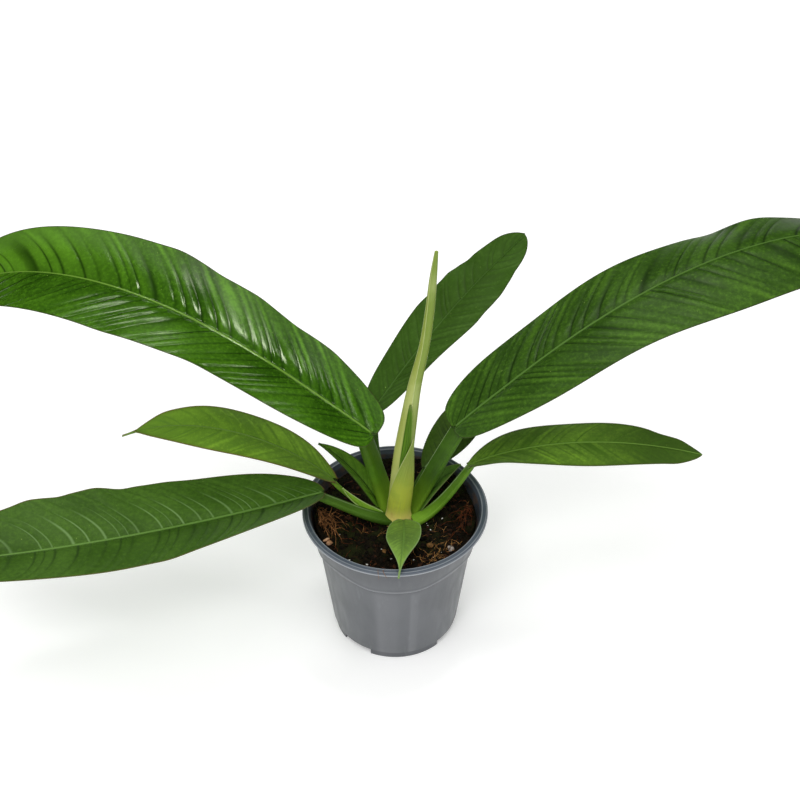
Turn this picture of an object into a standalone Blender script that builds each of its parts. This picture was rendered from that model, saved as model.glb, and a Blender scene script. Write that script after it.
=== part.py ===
"""A strap-leaved philodendron in a 12 cm nursery pot.

Metres, +Z up, the origin at the centre of the pot's base, the front towards -Y.
"""
import math

import bmesh
import bpy
from mathutils import Vector, noise

MM = 0.001
CARVING_GAP = 0.5 * MM
CUTTER_OVERSHOOT = 10.0 * MM
SCREW_MERGE_DISTANCE = 0.01 * MM
SEAM_MERGE_DISTANCE = 0.001 * MM
SAME_PLACE = 0.01 * MM
SMOOTH_ANGLE = 35.0

# Pot
POT_STEPS = 40
RIM_RADIUS = 60.0 * MM
RIM_INNER_RADIUS = 55.7 * MM
RIM_HEIGHT = 100.0 * MM
LIP_DROP = 3.0 * MM
LIP_ROUND = 0.7 * MM
LIP_THICKNESS = 1.2 * MM
MOUTH_DEPTH = 4.0 * MM
MOUTH_STEP = 2.0 * MM
COLLAR_TOP_RADIUS = 56.2 * MM
COLLAR_FILLET = 0.6 * MM
COLLAR_FOOT_RADIUS = 51.2 * MM
COLLAR_FOOT_HEIGHT = 73.0 * MM
COLLAR_LEDGE = 0.8 * MM
BODY_TOP_RADIUS = 49.8 * MM
BODY_FOOT_RADIUS = 41.5 * MM
FOOT_RADIUS = 40.5 * MM
FOOT_HEIGHT = 5.0 * MM
FOOT_ROUND = 0.5 * MM
WALL = 1.3 * MM
FLOOR_THICKNESS = 1.6 * MM
LOWER_WALL = 1.56 * MM
HEEL_WALL = 3.25 * MM
NOTCH_ANGLES = (-39.5, 59.5, 140.5, 239.5)
NOTCH_WIDTH = 22.0 * MM
NOTCH_INNER_REACH = 31.0 * MM
NOTCH_HEIGHT = 5.0 * MM
DRAIN_RADIUS = 3.5 * MM
DRAIN_REACH = 35.5 * MM

# Soil
SOIL_HEIGHT = 89.5 * MM
SOIL_GAP = 0.4 * MM
SOIL_RELIEF = 1.3 * MM
SOIL_RINGS = 6
SOIL_EDGE = 1.0 * MM
LUMPS_PER_METRE = 160.0
CRUMBS_PER_METRE = 420.0
CRUMB_SHARE = 0.6
CALMEST_SOIL = 0.25
CROWN_CLEAR_RADIUS = 18.0 * MM

# Crown
CROWN_X = 2.5 * MM
CROWN_Y = -0.5 * MM
STEM_RADIUS = 8.5 * MM
STEM_NECK_RADIUS = 6.6 * MM
STEM_FOOT_HEIGHT = 76.0 * MM
STEM_TOP_HEIGHT = 98.5 * MM
STEM_TOP_ROUND = 1.2 * MM
STEM_SHOULDER_DROP = 7.0 * MM
STEM_FOOT_ROUND = 2.0 * MM
STEM_STEPS = 16
STEM_HOLE_SIDES = 24

# Spear: centre line points from its foot on the stem to its tip, with the width there
SPEAR_POINTS = (
    (1.8, -1.5, 98.8, 13.4),
    (3.4, -1.8, 122.0, 13.2),
    (5.6, -2.0, 150.0, 12.2),
    (8.6, -2.0, 176.0, 10.4),
    (12.0, -1.8, 202.0, 8.4),
    (16.4, -1.2, 232.0, 6.4),
    (20.0, -0.6, 258.0, 5.6),
    (22.6, -0.2, 280.0, 4.2),
    (24.6, 0.4, 298.0, 1.4),
)
SPEAR_DEPTH_RATIO = 0.84
SPEAR_RIDGE_ANGLE = -80.0
SPEAR_RIDGE_SPREAD = 60.0
SPEAR_RIDGE_HEIGHT = 0.14
SPEAR_RINGS = 18
SPEAR_SIDES = 14
SPEAR_SEARCH_STEPS = 30

# Sheath in front of the spear, and the leaf edge that stands between the two
SHEATH_FOOT_HEIGHT = 90.5 * MM
SHEATH_TIP_HEIGHT = 160.0 * MM
SHEATH_CENTRE_ANGLE = -84.0
SHEATH_TIP_ANGLE = -58.0
SHEATH_HALF_ANGLE = 78.0
SHEATH_THICKNESS = 0.9 * MM
SHEATH_CLEARANCE = 0.66 * MM
SHEATH_FLARE = 1.3 * MM
SHEATH_COLLAR = 2.6 * MM
SHEATH_FLARE_END = 0.45
SHEATH_COLLAR_END = 0.16
SHEATH_COLLAR_POWER = 1.5
SHEATH_TAPER_POWER = 1.6
SHEATH_SWING_POWER = 1.5
SHEATH_LEAST_SHARE = 0.03
SHEATH_ROWS = 12
SHEATH_COLUMNS = 8
EMERGING_FOOT_HEIGHT = 128.0 * MM
EMERGING_TIP_HEIGHT = 188.0 * MM
EMERGING_FOOT_ANGLE = -104.0
EMERGING_TIP_ANGLE = -112.0
EMERGING_HALF_WIDTH = 2.3 * MM
EMERGING_THICKNESS = 0.7 * MM
EMERGING_CLEARANCE = 0.39 * MM
EMERGING_LEAST_SHARE = 0.12
EMERGING_START = 0.12
EMERGING_SPAN = 0.84
EMERGING_FULLNESS = 0.7
EMERGING_ROWS = 12
EMERGING_COLUMNS = 4

# Blades: the keel is the thick midrib, the lobe pulls the base's corners back past the stalk
BLADE_THICKNESS = 0.8 * MM
KEEL_HALF_WIDTH = 2.2 * MM
VEIN_LEAN = 0.06
LEAN_START = 0.12
LEAN_END = 0.15
VEIN_CURVE = 1.4
RIB_START = 0.05
RIB_SPAN = 0.85
RIB_FULLNESS = 0.7
WAVE_POWER = 3
LOBE_REACH = 0.045
LOBE_POWER = 1.2
LOBE_FALL = 1.5
SHOULDER_POWER = 2.4
KEEL_FALL = 1.6
TIP_HALF_WIDTH = 0.5 * MM
BASE_HALF_WIDTH = 2.6 * MM
FULL_BASE_BLADE_WIDTH = 40.0
BASE_ROWS = (0.0, 0.002, 0.006)
KEELED_COLUMNS = (-1.0, -0.55, 0.0, 0.55, 1.0)
PLAIN_COLUMNS = (-1.0, -0.5, 0.0, 0.5, 1.0)
KEEL_WIDEST_SHARE = 0.3

# Each leaf in millimetres and degrees. A pair is the value at the near end and at the far end.
# Azimuths turn from +X towards +Y, rises are above the horizon, and a positive fold lifts both halves.
LEAVES = {
    "leaf_upper_left": dict(
        foot=(-4.0, 6.5, 94.5), foot_azimuth=152, foot_rise=78, base=(-15.5, 5.6, 159.0), top_rise=76,
        stalk_width=(14.5, 12.5), stalk_depth=(12.5, 10.5), channel=0.5,
        azimuth=(155.5, 155.5), rise=(27.5, -46.5), bend=1.7, length=355, width=79,
        roll=(8.0, -28.0), fold=(6.0, 9.0), arch=0.05, lobe=4.5,
        widest=0.5, base_power=0.22, tip_powers=(2.5, 0.85),
        ribs=22, rib_height=0.7, keel=4.5, waves=2.7, wave_height=1.4, wave_phases=(2.65, 0.1),
        colour=(0.045, 0.19, 0.035), roughness=0.28,
        carved_by=("stem", "spear", "spear_sheath"),
    ),
    "leaf_upper_right": dict(
        foot=(9.5, 2.5, 92.5), foot_azimuth=33, foot_rise=62, base=(38.6, 12.7, 158.0), top_rise=60,
        stalk_width=(12.0, 13.0), stalk_depth=(9.0, 7.0), channel=0.7,
        azimuth=(24.3, 20.0), rise=(33.5, -30.0), bend=1.6, length=357, width=82.5,
        roll=(-10.0, 9.0), fold=(5.0, -32.5), arch=0.05, lobe=3.0,
        widest=0.5, base_power=0.26, tip_powers=(2.75, 0.78),
        ribs=22, rib_height=0.7, keel=4.5, waves=2.65, wave_height=1.8, wave_phases=(1.4, 2.15),
        colour=(0.05, 0.2, 0.035), roughness=0.32,
        carved_by=("stem", "spear", "spear_sheath"),
    ),
    "leaf_lower_left": dict(
        foot=(-3.0, -6.4, 94.6), foot_azimuth=186, foot_rise=20, base=(-46.8, -5.9, 118.1), top_rise=38,
        stalk_width=(9.0, 6.6), stalk_depth=(8.2, 6.0), channel=0.5,
        azimuth=(194.4, 197.5), rise=(-5.5, 13.0), bend=1.35, length=284, width=78.5,
        roll=(12.8, -8.0), fold=(10.4, 13.4), arch=0.05, lobe=2.5,
        widest=0.45, base_power=0.49, tip_powers=(2.05, 0.98),
        ribs=20, rib_height=0.7, keel=3.6, waves=1.9, wave_height=1.7, wave_phases=(-0.2, 0.8),
        colour=(0.055, 0.22, 0.04), roughness=0.34,
        carved_by=("stem", "spear_sheath"),
    ),
    "leaf_mid_left": dict(
        foot=(-5.0, 2.5, 93.0), foot_azimuth=174, foot_rise=4, base=(-40.4, 12.6, 113.6), top_rise=54,
        stalk_width=(4.2, 3.6), stalk_depth=(3.8, 3.2), channel=0.3,
        azimuth=(167.5, 171.3), rise=(38.0, -30.0), bend=1.1, length=148, width=35.6,
        roll=(0.0, -19.0), fold=(4.4, 1.7), arch=0.05, lobe=4.0,
        widest=0.47, base_power=0.6, tip_powers=(2.2, 1.14),
        ribs=12, rib_height=0.5, keel=2.2, waves=1.35, wave_height=1.5, wave_phases=(0.35, 1.1),
        colour=(0.09, 0.28, 0.045), roughness=0.42,
        carved_by=("stem", "leaf_upper_left"),
    ),
    "leaf_lower_right": dict(
        foot=(11.6, -7.6, 94.4), foot_azimuth=20, foot_rise=12, base=(46.7, 12.7, 124.4), top_rise=58,
        stalk_width=(9.5, 6.0), stalk_depth=(7.6, 4.4), channel=0.5,
        azimuth=(8.0, -4.0), rise=(29.5, -14.0), bend=0.57, length=154, width=41,
        roll=(-9.0, 10.5), fold=(8.5, -13.3), arch=0.05, lobe=0.6,
        widest=0.43, base_power=0.72, tip_powers=(1.9, 0.77),
        ribs=12, rib_height=0.5, keel=2.2, waves=1.55, wave_height=1.5, wave_phases=(0.5, 0.0),
        colour=(0.06, 0.23, 0.04), roughness=0.42,
        carved_by=("stem", "spear_sheath", "leaf_upper_right"),
    ),
    "leaf_back": dict(
        foot=(-4.0, 11.0, 92.0), foot_azimuth=125, foot_rise=68, base=(-11.8, 39.0, 152.7), top_rise=62,
        stalk_width=(6.0, 5.0), stalk_depth=(5.0, 4.4), channel=0.4,
        azimuth=(53.0, 36.0), rise=(26.0, 25.7), bend=1.15, length=153.5, width=44.3,
        roll=(-22.0, 16.0), fold=(9.0, -3.0), arch=0.05, lobe=5.0,
        widest=0.5, base_power=0.3, tip_powers=(1.95, 0.55),
        ribs=12, rib_height=0.5, keel=2.6, waves=1.8, wave_height=1.2, wave_phases=(2.25, 4.6),
        colour=(0.035, 0.16, 0.035), roughness=0.38,
        carved_by=("stem", "leaf_upper_left"),
    ),
    "leaf_back_right": dict(
        foot=(8.5, 8.0, 92.5), foot_azimuth=66, foot_rise=62, base=(19.4, 19.2, 117.0), top_rise=48,
        stalk_width=(4.8, 4.0), stalk_depth=(4.2, 3.4), channel=0.4,
        azimuth=(46.7, 58.8), rise=(21.0, 20.7), bend=1.2, length=75, width=29,
        roll=(-1.0, 4.0), fold=(4.0, -0.5), arch=0.05, lobe=1.5,
        widest=0.48, base_power=0.59, tip_powers=(1.95, 0.93),
        ribs=7, rib_height=0.4, keel=1.8, waves=1.6, wave_height=0.8, wave_phases=(3.3, 0.2),
        colour=(0.05, 0.2, 0.04), roughness=0.42,
        carved_by=("stem", "leaf_upper_right"),
    ),
    "leaf_front_small": dict(
        foot=(4.6, -9.6, 95.6), foot_azimuth=272, foot_rise=30, base=(5.5, -11.6, 99.0), top_rise=28,
        stalk_width=(3.0, 2.4), stalk_depth=(2.4, 2.0), channel=0.2,
        azimuth=(272.3, 261.0), rise=(22.5, -17.5), bend=1.3, length=57.5, width=21,
        roll=(1.0, 18.0), fold=(5.3, 5.0), arch=0.08, lobe=2.4,
        widest=0.37, base_power=0.53, tip_powers=(1.45, 1.5),
        ribs=6, rib_height=0.3, keel=1.4, waves=1.7, wave_height=0.9, wave_phases=(5.1, 1.8),
        colour=(0.06, 0.19, 0.05), roughness=0.5,
        carved_by=("spear_sheath",),
    ),
}

# Bracts: boat-shaped blades that sit on the crown without a stalk
BRACTS = {
    "bract_left": dict(
        foot=(-9.3, 4.3, 95.8), azimuth=(150.0, 165.0), rise=(57.0, 27.0), bend=1.25, length=60, width=15,
        roll=(-7.0, -3.0), fold=(27.0, 24.0), arch=0.12, lobe=0.0,
        widest=0.38, base_power=0.38, tip_powers=(2.15, 0.92), rows=16,
        colour=(0.05, 0.15, 0.04), roughness=0.4,
        carved_by=("stem", "leaf_upper_left", "leaf_mid_left"),
    ),
    "bract_left_pale": dict(
        foot=(-7.5, -1.2, 95.0), azimuth=(179.0, 158.0), rise=(12.0, 56.0), bend=1.0, length=33, width=6,
        roll=(-2.0, -4.0), fold=(20.0, 20.0), arch=0.1, lobe=0.0,
        widest=0.4, base_power=0.4, tip_powers=(2.15, 0.88), rows=10,
        colour=(0.32, 0.45, 0.12), roughness=0.5,
        carved_by=("stem", "leaf_upper_left", "leaf_lower_left", "leaf_mid_left"),
    ),
    "bract_right": dict(
        foot=(13.5, 1.6, 93.5), azimuth=(36.0, 32.0), rise=(56.0, 8.5), bend=1.25, length=44, width=13,
        roll=(1.0, 7.0), fold=(24.5, 24.5), arch=0.12, lobe=0.0,
        widest=0.38, base_power=0.35, tip_powers=(2.2, 0.87), rows=12,
        colour=(0.07, 0.2, 0.05), roughness=0.45,
        carved_by=("stem", "spear_sheath", "leaf_upper_right", "leaf_lower_right"),
    ),
}

STALK_SIDES = 9
STALK_RINGS = 12
STALK_OVERLAP = 9.0 * MM
STALK_END = ((0.35, 0.62), (1.0, 0.3))
STALK_END_SINK = 0.15 * MM
CLEARANCE_RINGS = 9
PATH_STEPS = 160


def clear_scene():
    """Empties the scene, so that the script gives the same model each time it runs."""
    for item in list(bpy.data.objects):
        bpy.data.objects.remove(item)


def new_collection(name):
    collection = bpy.data.collections.new(name)
    bpy.context.scene.collection.children.link(collection)
    return collection


def new_material(name, colour, roughness):
    material = bpy.data.materials.new(name)
    material.use_nodes = True
    shader = material.node_tree.nodes["Principled BSDF"]
    shader.inputs["Base Color"].default_value = (*colour, 1.0)
    shader.inputs["Roughness"].default_value = roughness
    return material


def new_object(name, mesh, collection, material=None):
    item = bpy.data.objects.new(name, mesh)
    collection.objects.link(item)
    if material is not None:
        mesh.materials.append(material)
    return item


def as_cutter(item):
    item.hide_render = True
    item.display_type = "WIRE"
    return item


def smooth(mesh):
    mesh.shade_smooth()
    mesh.set_sharp_from_angle(angle=math.radians(SMOOTH_ANGLE))


def add_boolean(item, other, operation="DIFFERENCE"):
    boolean = item.modifiers.new(operation.lower() + " " + other.name, "BOOLEAN")
    boolean.operation = operation
    boolean.solver = "EXACT"
    boolean.object = other


def bake(item):
    """Replaces the object's mesh by its evaluated one and drops its modifiers."""
    evaluated = item.evaluated_get(bpy.context.evaluated_depsgraph_get())
    mesh = bpy.data.meshes.new_from_object(evaluated)
    mesh.name = item.name
    item.modifiers.clear()
    item.data = mesh


def blend(pair, t):
    return pair[0] + (pair[1] - pair[0]) * t


def heading(azimuth, rise):
    """A unit vector from an azimuth and a rise in degrees."""
    azimuth = math.radians(azimuth)
    rise = math.radians(rise)
    flat = math.cos(rise)
    return Vector((flat * math.cos(azimuth), flat * math.sin(azimuth), math.sin(rise)))


def left_of(azimuth):
    azimuth = math.radians(azimuth)
    return Vector((-math.sin(azimuth), math.cos(azimuth), 0.0))


def turned(side, up, degrees):
    """Turns the pair of a side and an up vector about the line that both stand on."""
    angle = math.radians(degrees)
    new_side = side * math.cos(angle) + up * math.sin(angle)
    new_up = up * math.cos(angle) - side * math.sin(angle)
    return new_side, new_up


def screw_object(name, profile, collection, material=None, steps=POT_STEPS):
    """A profile of (radius, height) pairs, top to bottom down its outer side, turned about Z."""
    mesh = bpy.data.meshes.new(name)
    points = [(radius, 0.0, height) for radius, height in profile]
    edges = [(i, i + 1) for i in range(len(points) - 1)]
    mesh.from_pydata(points, edges, [])
    item = new_object(name, mesh, collection, material)
    screw = item.modifiers.new("turn", "SCREW")
    screw.steps = steps
    screw.render_steps = steps
    screw.use_merge_vertices = True
    screw.merge_threshold = SCREW_MERGE_DISTANCE
    screw.use_smooth_shade = True
    return item


def box_object(name, low, high, angle, collection):
    """A box between two corners, turned about Z by an angle in degrees."""
    mesh = bpy.data.meshes.new(name)
    shape = bmesh.new()
    bmesh.ops.create_cube(shape, size=1.0)
    for vert in shape.verts:
        vert.co = Vector([low[k] + (high[k] - low[k]) * (vert.co[k] + 0.5) for k in range(3)])
    shape.to_mesh(mesh)
    shape.free()
    item = new_object(name, mesh, collection)
    item.rotation_euler.z = math.radians(angle)
    return as_cutter(item)


def cylinder_object(name, radius, low, high, centre, collection, segments=20):
    mesh = bpy.data.meshes.new(name)
    shape = bmesh.new()
    bmesh.ops.create_cone(
        shape, cap_ends=True, segments=segments, radius1=radius, radius2=radius, depth=high - low)
    shape.to_mesh(mesh)
    shape.free()
    item = new_object(name, mesh, collection)
    item.location = (centre[0], centre[1], (low + high) / 2)
    return as_cutter(item)


def notch_box(name, angle, grow, top, cutters):
    """The box of one notch under the foot; it reaches out past the wall."""
    half = NOTCH_WIDTH / 2 + grow
    low = (NOTCH_INNER_REACH - grow, -half, -CUTTER_OVERSHOOT)
    high = (RIM_RADIUS, half, top)
    return box_object(name, low, high, angle, cutters)


def pot_cavity_profile(inset, top, floor):
    """The inside of the pot, from its mouth down to its floor, at a distance from the wall."""
    return [
        (0.0, top),
        (RIM_INNER_RADIUS - inset, top),
        (RIM_INNER_RADIUS - inset, RIM_HEIGHT - LIP_THICKNESS),
        (COLLAR_TOP_RADIUS - MOUTH_STEP - inset, RIM_HEIGHT - MOUTH_DEPTH),
        (COLLAR_FOOT_RADIUS - WALL - inset, COLLAR_FOOT_HEIGHT + WALL),
        (BODY_TOP_RADIUS - WALL - inset, COLLAR_FOOT_HEIGHT - WALL),
        (BODY_FOOT_RADIUS - LOWER_WALL - inset, FOOT_HEIGHT),
        (FOOT_RADIUS - HEEL_WALL - inset, floor),
        (0.0, floor),
    ]


def make_pot(parts, cutters):
    """The pot is its outer form less its cavity, less the notches and drain holes of its foot."""
    material = new_material("pot_plastic", (0.17, 0.19, 0.21), 0.4)
    profile = [
        (0.0, RIM_HEIGHT),
        (RIM_RADIUS - LIP_ROUND, RIM_HEIGHT),
        (RIM_RADIUS, RIM_HEIGHT - LIP_ROUND),
        (RIM_RADIUS, RIM_HEIGHT - LIP_DROP),
        (COLLAR_TOP_RADIUS + COLLAR_FILLET, RIM_HEIGHT - LIP_DROP),
        (COLLAR_TOP_RADIUS, RIM_HEIGHT - LIP_DROP - COLLAR_FILLET),
        (COLLAR_FOOT_RADIUS, COLLAR_FOOT_HEIGHT),
        (BODY_TOP_RADIUS, COLLAR_FOOT_HEIGHT - COLLAR_LEDGE),
        (BODY_FOOT_RADIUS, FOOT_HEIGHT + FOOT_ROUND),
        (FOOT_RADIUS, FOOT_HEIGHT),
        (FOOT_RADIUS, FOOT_ROUND),
        (FOOT_RADIUS - FOOT_ROUND, 0.0),
        (0.0, 0.0),
    ]
    pot = screw_object("pot", profile, parts, material)
    inside = pot_cavity_profile(0.0, RIM_HEIGHT + CUTTER_OVERSHOOT, FLOOR_THICKNESS)
    cavity = as_cutter(screw_object("pot_cavity", inside, cutters))
    for number, angle in enumerate(NOTCH_ANGLES, 1):
        turn = angle - 90.0
        add_boolean(cavity, notch_box(
            f"notch_wall_{number}", turn, WALL, NOTCH_HEIGHT + FLOOR_THICKNESS, cutters))
    add_boolean(pot, cavity)
    for number, angle in enumerate(NOTCH_ANGLES, 1):
        turn = angle - 90.0
        add_boolean(pot, notch_box(f"notch_{number}", turn, 0.0, NOTCH_HEIGHT, cutters))
        centre = heading(turn, 0.0) * DRAIN_REACH
        add_boolean(pot, cylinder_object(
            f"drain_{number}", DRAIN_RADIUS, -CUTTER_OVERSHOOT, CUTTER_OVERSHOOT, centre, cutters))


def soil_relief(x, y):
    """Crumbs and lumps of the soil's surface, calmer round the crown."""
    lumps = noise.noise(Vector((x, y, 0.0)) * LUMPS_PER_METRE)
    crumbs = noise.noise(Vector((y, x, 0.0)) * CRUMBS_PER_METRE)
    reach = math.hypot(x - CROWN_X, y - CROWN_Y)
    calm = min(1.0, max(CALMEST_SOIL, reach / CROWN_CLEAR_RADIUS - 1.0))
    return SOIL_RELIEF * (lumps + CRUMB_SHARE * crumbs) * calm


def make_soil(parts, cutters):
    """The soil fills the pot up to a rough surface, with a plain hole for the stem."""
    material = new_material("potting_soil", (0.035, 0.024, 0.017), 0.95)
    cavity = pot_cavity_profile(SOIL_GAP, SOIL_HEIGHT, FLOOR_THICKNESS + SOIL_GAP)
    wall_top = cavity[3]
    wall_foot = cavity[4]
    drop = (wall_top[1] - SOIL_HEIGHT) / (wall_top[1] - wall_foot[1])
    edge = wall_top[0] + (wall_foot[0] - wall_top[0]) * drop
    surface = [(edge * ring / SOIL_RINGS, SOIL_HEIGHT) for ring in range(SOIL_RINGS + 1)]
    soil = screw_object("soil", surface + cavity[4:], parts, material)
    bake(soil)
    for vert in soil.data.vertices:
        inside = math.hypot(vert.co.x, vert.co.y) < edge - SOIL_EDGE
        if inside and vert.co.z > SOIL_HEIGHT - SOIL_EDGE:
            vert.co.z += soil_relief(vert.co.x, vert.co.y)
    notch_top = NOTCH_HEIGHT + FLOOR_THICKNESS + SOIL_GAP
    for number, angle in enumerate(NOTCH_ANGLES, 1):
        add_boolean(soil, notch_box(
            f"soil_notch_{number}", angle - 90.0, WALL + SOIL_GAP, notch_top, cutters))
    add_boolean(soil, cylinder_object(
        "stem_hole", STEM_RADIUS + SOIL_GAP, STEM_FOOT_HEIGHT - SOIL_GAP, RIM_HEIGHT,
        (CROWN_X, CROWN_Y), cutters, STEM_HOLE_SIDES))


def stem_object(name, grow, collection, material=None):
    profile = [
        (0.0, STEM_TOP_HEIGHT + grow),
        (STEM_NECK_RADIUS - STEM_TOP_ROUND + grow, STEM_TOP_HEIGHT + grow),
        (STEM_NECK_RADIUS + grow, STEM_TOP_HEIGHT - STEM_TOP_ROUND),
        (STEM_RADIUS + grow, STEM_TOP_HEIGHT - STEM_SHOULDER_DROP),
        (STEM_RADIUS + grow, STEM_FOOT_HEIGHT + STEM_FOOT_ROUND),
        (STEM_RADIUS - STEM_FOOT_ROUND + grow, STEM_FOOT_HEIGHT - grow),
        (0.0, STEM_FOOT_HEIGHT - grow),
    ]
    stem = screw_object(name, profile, collection, material, STEM_STEPS)
    stem.location = (CROWN_X, CROWN_Y, 0.0)
    return stem


def grid_mesh(name, rows, columns, place):
    """A grid primitive whose vertex in a row and a column is put where place(row, column) says."""
    mesh = bpy.data.meshes.new(name)
    shape = bmesh.new()
    bmesh.ops.create_grid(shape, x_segments=rows, y_segments=columns, size=1.0)
    for vert in shape.verts:
        row = round((vert.co.x + 1.0) / 2.0 * rows)
        column = round((vert.co.y + 1.0) / 2.0 * columns)
        vert.co = place(row, column)
    bmesh.ops.triangulate(shape, faces=shape.faces, quad_method="FIXED")
    shape.to_mesh(mesh)
    shape.free()
    return mesh


def tube_mesh(name, rings, sides, place):
    """A grid rolled into a tube, its seam welded and its two ends closed."""
    mesh = bpy.data.meshes.new(name)
    shape = bmesh.new()
    bmesh.ops.create_grid(shape, x_segments=rings, y_segments=sides, size=1.0)
    for vert in shape.verts:
        ring = round((vert.co.x + 1.0) / 2.0 * rings)
        side = round((vert.co.y + 1.0) / 2.0 * sides) % sides
        vert.co = place(ring, -2.0 * math.pi * side / sides)
    bmesh.ops.remove_doubles(shape, verts=shape.verts, dist=SEAM_MERGE_DISTANCE)
    bmesh.ops.holes_fill(shape, edges=shape.edges, sides=sides)
    bmesh.ops.triangulate(shape, faces=shape.faces)
    bmesh.ops.recalc_face_normals(shape, faces=shape.faces)
    shape.to_mesh(mesh)
    shape.free()
    return mesh


def read_points(points, position):
    """A smooth curve through a list of points, read at a position counted in points."""
    last = len(points) - 1
    position = min(max(position, 0.0), float(last))
    index = min(int(position), last - 1)
    f = position - index
    before = points[max(index - 1, 0)]
    start = points[index]
    end = points[index + 1]
    after = points[min(index + 2, last)]
    value = []
    for a, b, c, d in zip(before, start, end, after):
        bend = (2 * a - 5 * b + 4 * c - d) * f + (3 * b - a - 3 * c + d) * f * f
        value.append(b + 0.5 * f * (c - a + bend))
    return value


def spear_ring(height):
    """The spear's centre and half-width at a height."""
    last = len(SPEAR_POINTS) - 1
    low = 0.0
    high = float(last)
    for _ in range(SPEAR_SEARCH_STEPS):
        middle = (low + high) / 2
        if read_points(SPEAR_POINTS, middle)[2] * MM < height:
            low = middle
        else:
            high = middle
    x, y, _, width = read_points(SPEAR_POINTS, low)
    return Vector((x * MM, y * MM, height)), width / 2 * MM


def spear_surface(height, degrees, grow):
    """A point on the spear's skin, or outside it by a distance; the ridge faces forward."""
    centre, radius = spear_ring(height)
    angle = math.radians(degrees)
    away = (degrees - SPEAR_RIDGE_ANGLE + 180.0) % 360.0 - 180.0
    ridge = 1.0 + SPEAR_RIDGE_HEIGHT * max(0.0, 1.0 - abs(away) / SPEAR_RIDGE_SPREAD)
    reach_x = radius * ridge + grow
    reach_y = radius * SPEAR_DEPTH_RATIO * ridge + grow
    return centre + Vector((reach_x * math.cos(angle), reach_y * math.sin(angle), 0.0))


def spear_object(name, grow, collection, material=None):
    foot = SPEAR_POINTS[0][2] * MM
    tip = SPEAR_POINTS[-1][2] * MM

    def place(ring, angle):
        height = foot + (tip - foot) * ring / SPEAR_RINGS
        return spear_surface(height, math.degrees(angle), grow)

    mesh = tube_mesh(name, SPEAR_RINGS, SPEAR_SIDES, place)
    return new_object(name, mesh, collection, material)


def make_spear(parts):
    material = new_material("spear_skin", (0.45, 0.55, 0.2), 0.45)
    spear = spear_object("spear", 0.0, parts, material)
    smooth(spear.data)


def sheath_object(name, grow, collection, material=None):
    """A curved shell round the front of the spear and stem, narrowing to its tip."""
    spear_foot = SPEAR_POINTS[0][2] * MM
    rise = SHEATH_TIP_HEIGHT - SHEATH_FOOT_HEIGHT + 2.0 * grow

    def place(row, column):
        t = row / SHEATH_ROWS
        v = 1.0 - column / SHEATH_COLUMNS * 2.0
        narrow = max(SHEATH_LEAST_SHARE, 1.0 - t ** SHEATH_TAPER_POWER)
        centre = SHEATH_CENTRE_ANGLE + (SHEATH_TIP_ANGLE - SHEATH_CENTRE_ANGLE) * t ** SHEATH_SWING_POWER
        degrees = centre + v * (SHEATH_HALF_ANGLE * narrow + math.degrees(grow / STEM_RADIUS))
        height = SHEATH_FOOT_HEIGHT - grow + rise * t
        flare = SHEATH_FLARE * min(1.0, t / SHEATH_FLARE_END)
        collar = SHEATH_COLLAR * max(0.0, 1.0 - t / SHEATH_COLLAR_END) ** SHEATH_COLLAR_POWER
        point = spear_surface(max(height, spear_foot), degrees, SHEATH_CLEARANCE + flare + collar)
        point.z = height
        return point

    mesh = grid_mesh(name, SHEATH_ROWS, SHEATH_COLUMNS, place)
    sheath = new_object(name, mesh, collection, material)
    thickness = SHEATH_THICKNESS + 2.0 * grow
    thicken(sheath, thickness, 1.0 - 2.0 * grow / thickness)
    return sheath


def thicken(item, thickness, offset):
    solidify = item.modifiers.new("thickness", "SOLIDIFY")
    solidify.thickness = thickness
    solidify.offset = offset
    solidify.use_even_offset = False
    return solidify


def make_sheath(parts):
    material = new_material("spear_sheath_skin", (0.36, 0.5, 0.14), 0.45)
    sheath_object("spear_sheath", 0.0, parts, material)


def make_emerging_leaf(parts):
    """A narrow leaf edge that lies along the spear, its foot behind the sheath."""
    material = new_material("emerging_leaf_skin", (0.05, 0.17, 0.04), 0.4)

    def place(row, column):
        t = row / EMERGING_ROWS
        v = 1.0 - column / EMERGING_COLUMNS * 2.0
        height = EMERGING_FOOT_HEIGHT + (EMERGING_TIP_HEIGHT - EMERGING_FOOT_HEIGHT) * t
        _, radius = spear_ring(height)
        full = math.sin(math.pi * (EMERGING_START + EMERGING_SPAN * t)) ** EMERGING_FULLNESS
        width = EMERGING_HALF_WIDTH * max(EMERGING_LEAST_SHARE, full)
        centre = blend((EMERGING_FOOT_ANGLE, EMERGING_TIP_ANGLE), t)
        degrees = centre + math.degrees(v * width / radius)
        return spear_surface(height, degrees, EMERGING_CLEARANCE)

    mesh = grid_mesh("emerging_leaf", EMERGING_ROWS, EMERGING_COLUMNS, place)
    leaf = new_object("emerging_leaf", mesh, parts, material)
    thicken(leaf, EMERGING_THICKNESS, 1.0)


def blade_outline(leaf, t):
    """Half-width of a blade along its midrib: a blunt base and a tapered tip."""
    widest = leaf["widest"]
    if t < widest:
        share = (1.0 - (1.0 - t / widest) ** SHOULDER_POWER) ** leaf["base_power"]
        floor = BASE_HALF_WIDTH * min(1.0, leaf["width"] / FULL_BASE_BLADE_WIDTH)
    else:
        near, far = leaf["tip_powers"]
        share = max(0.0, 1.0 - ((t - widest) / (1.0 - widest)) ** near) ** far
        floor = TIP_HALF_WIDTH
    return max(leaf["width"] / 2 * MM * share, floor)


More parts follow.
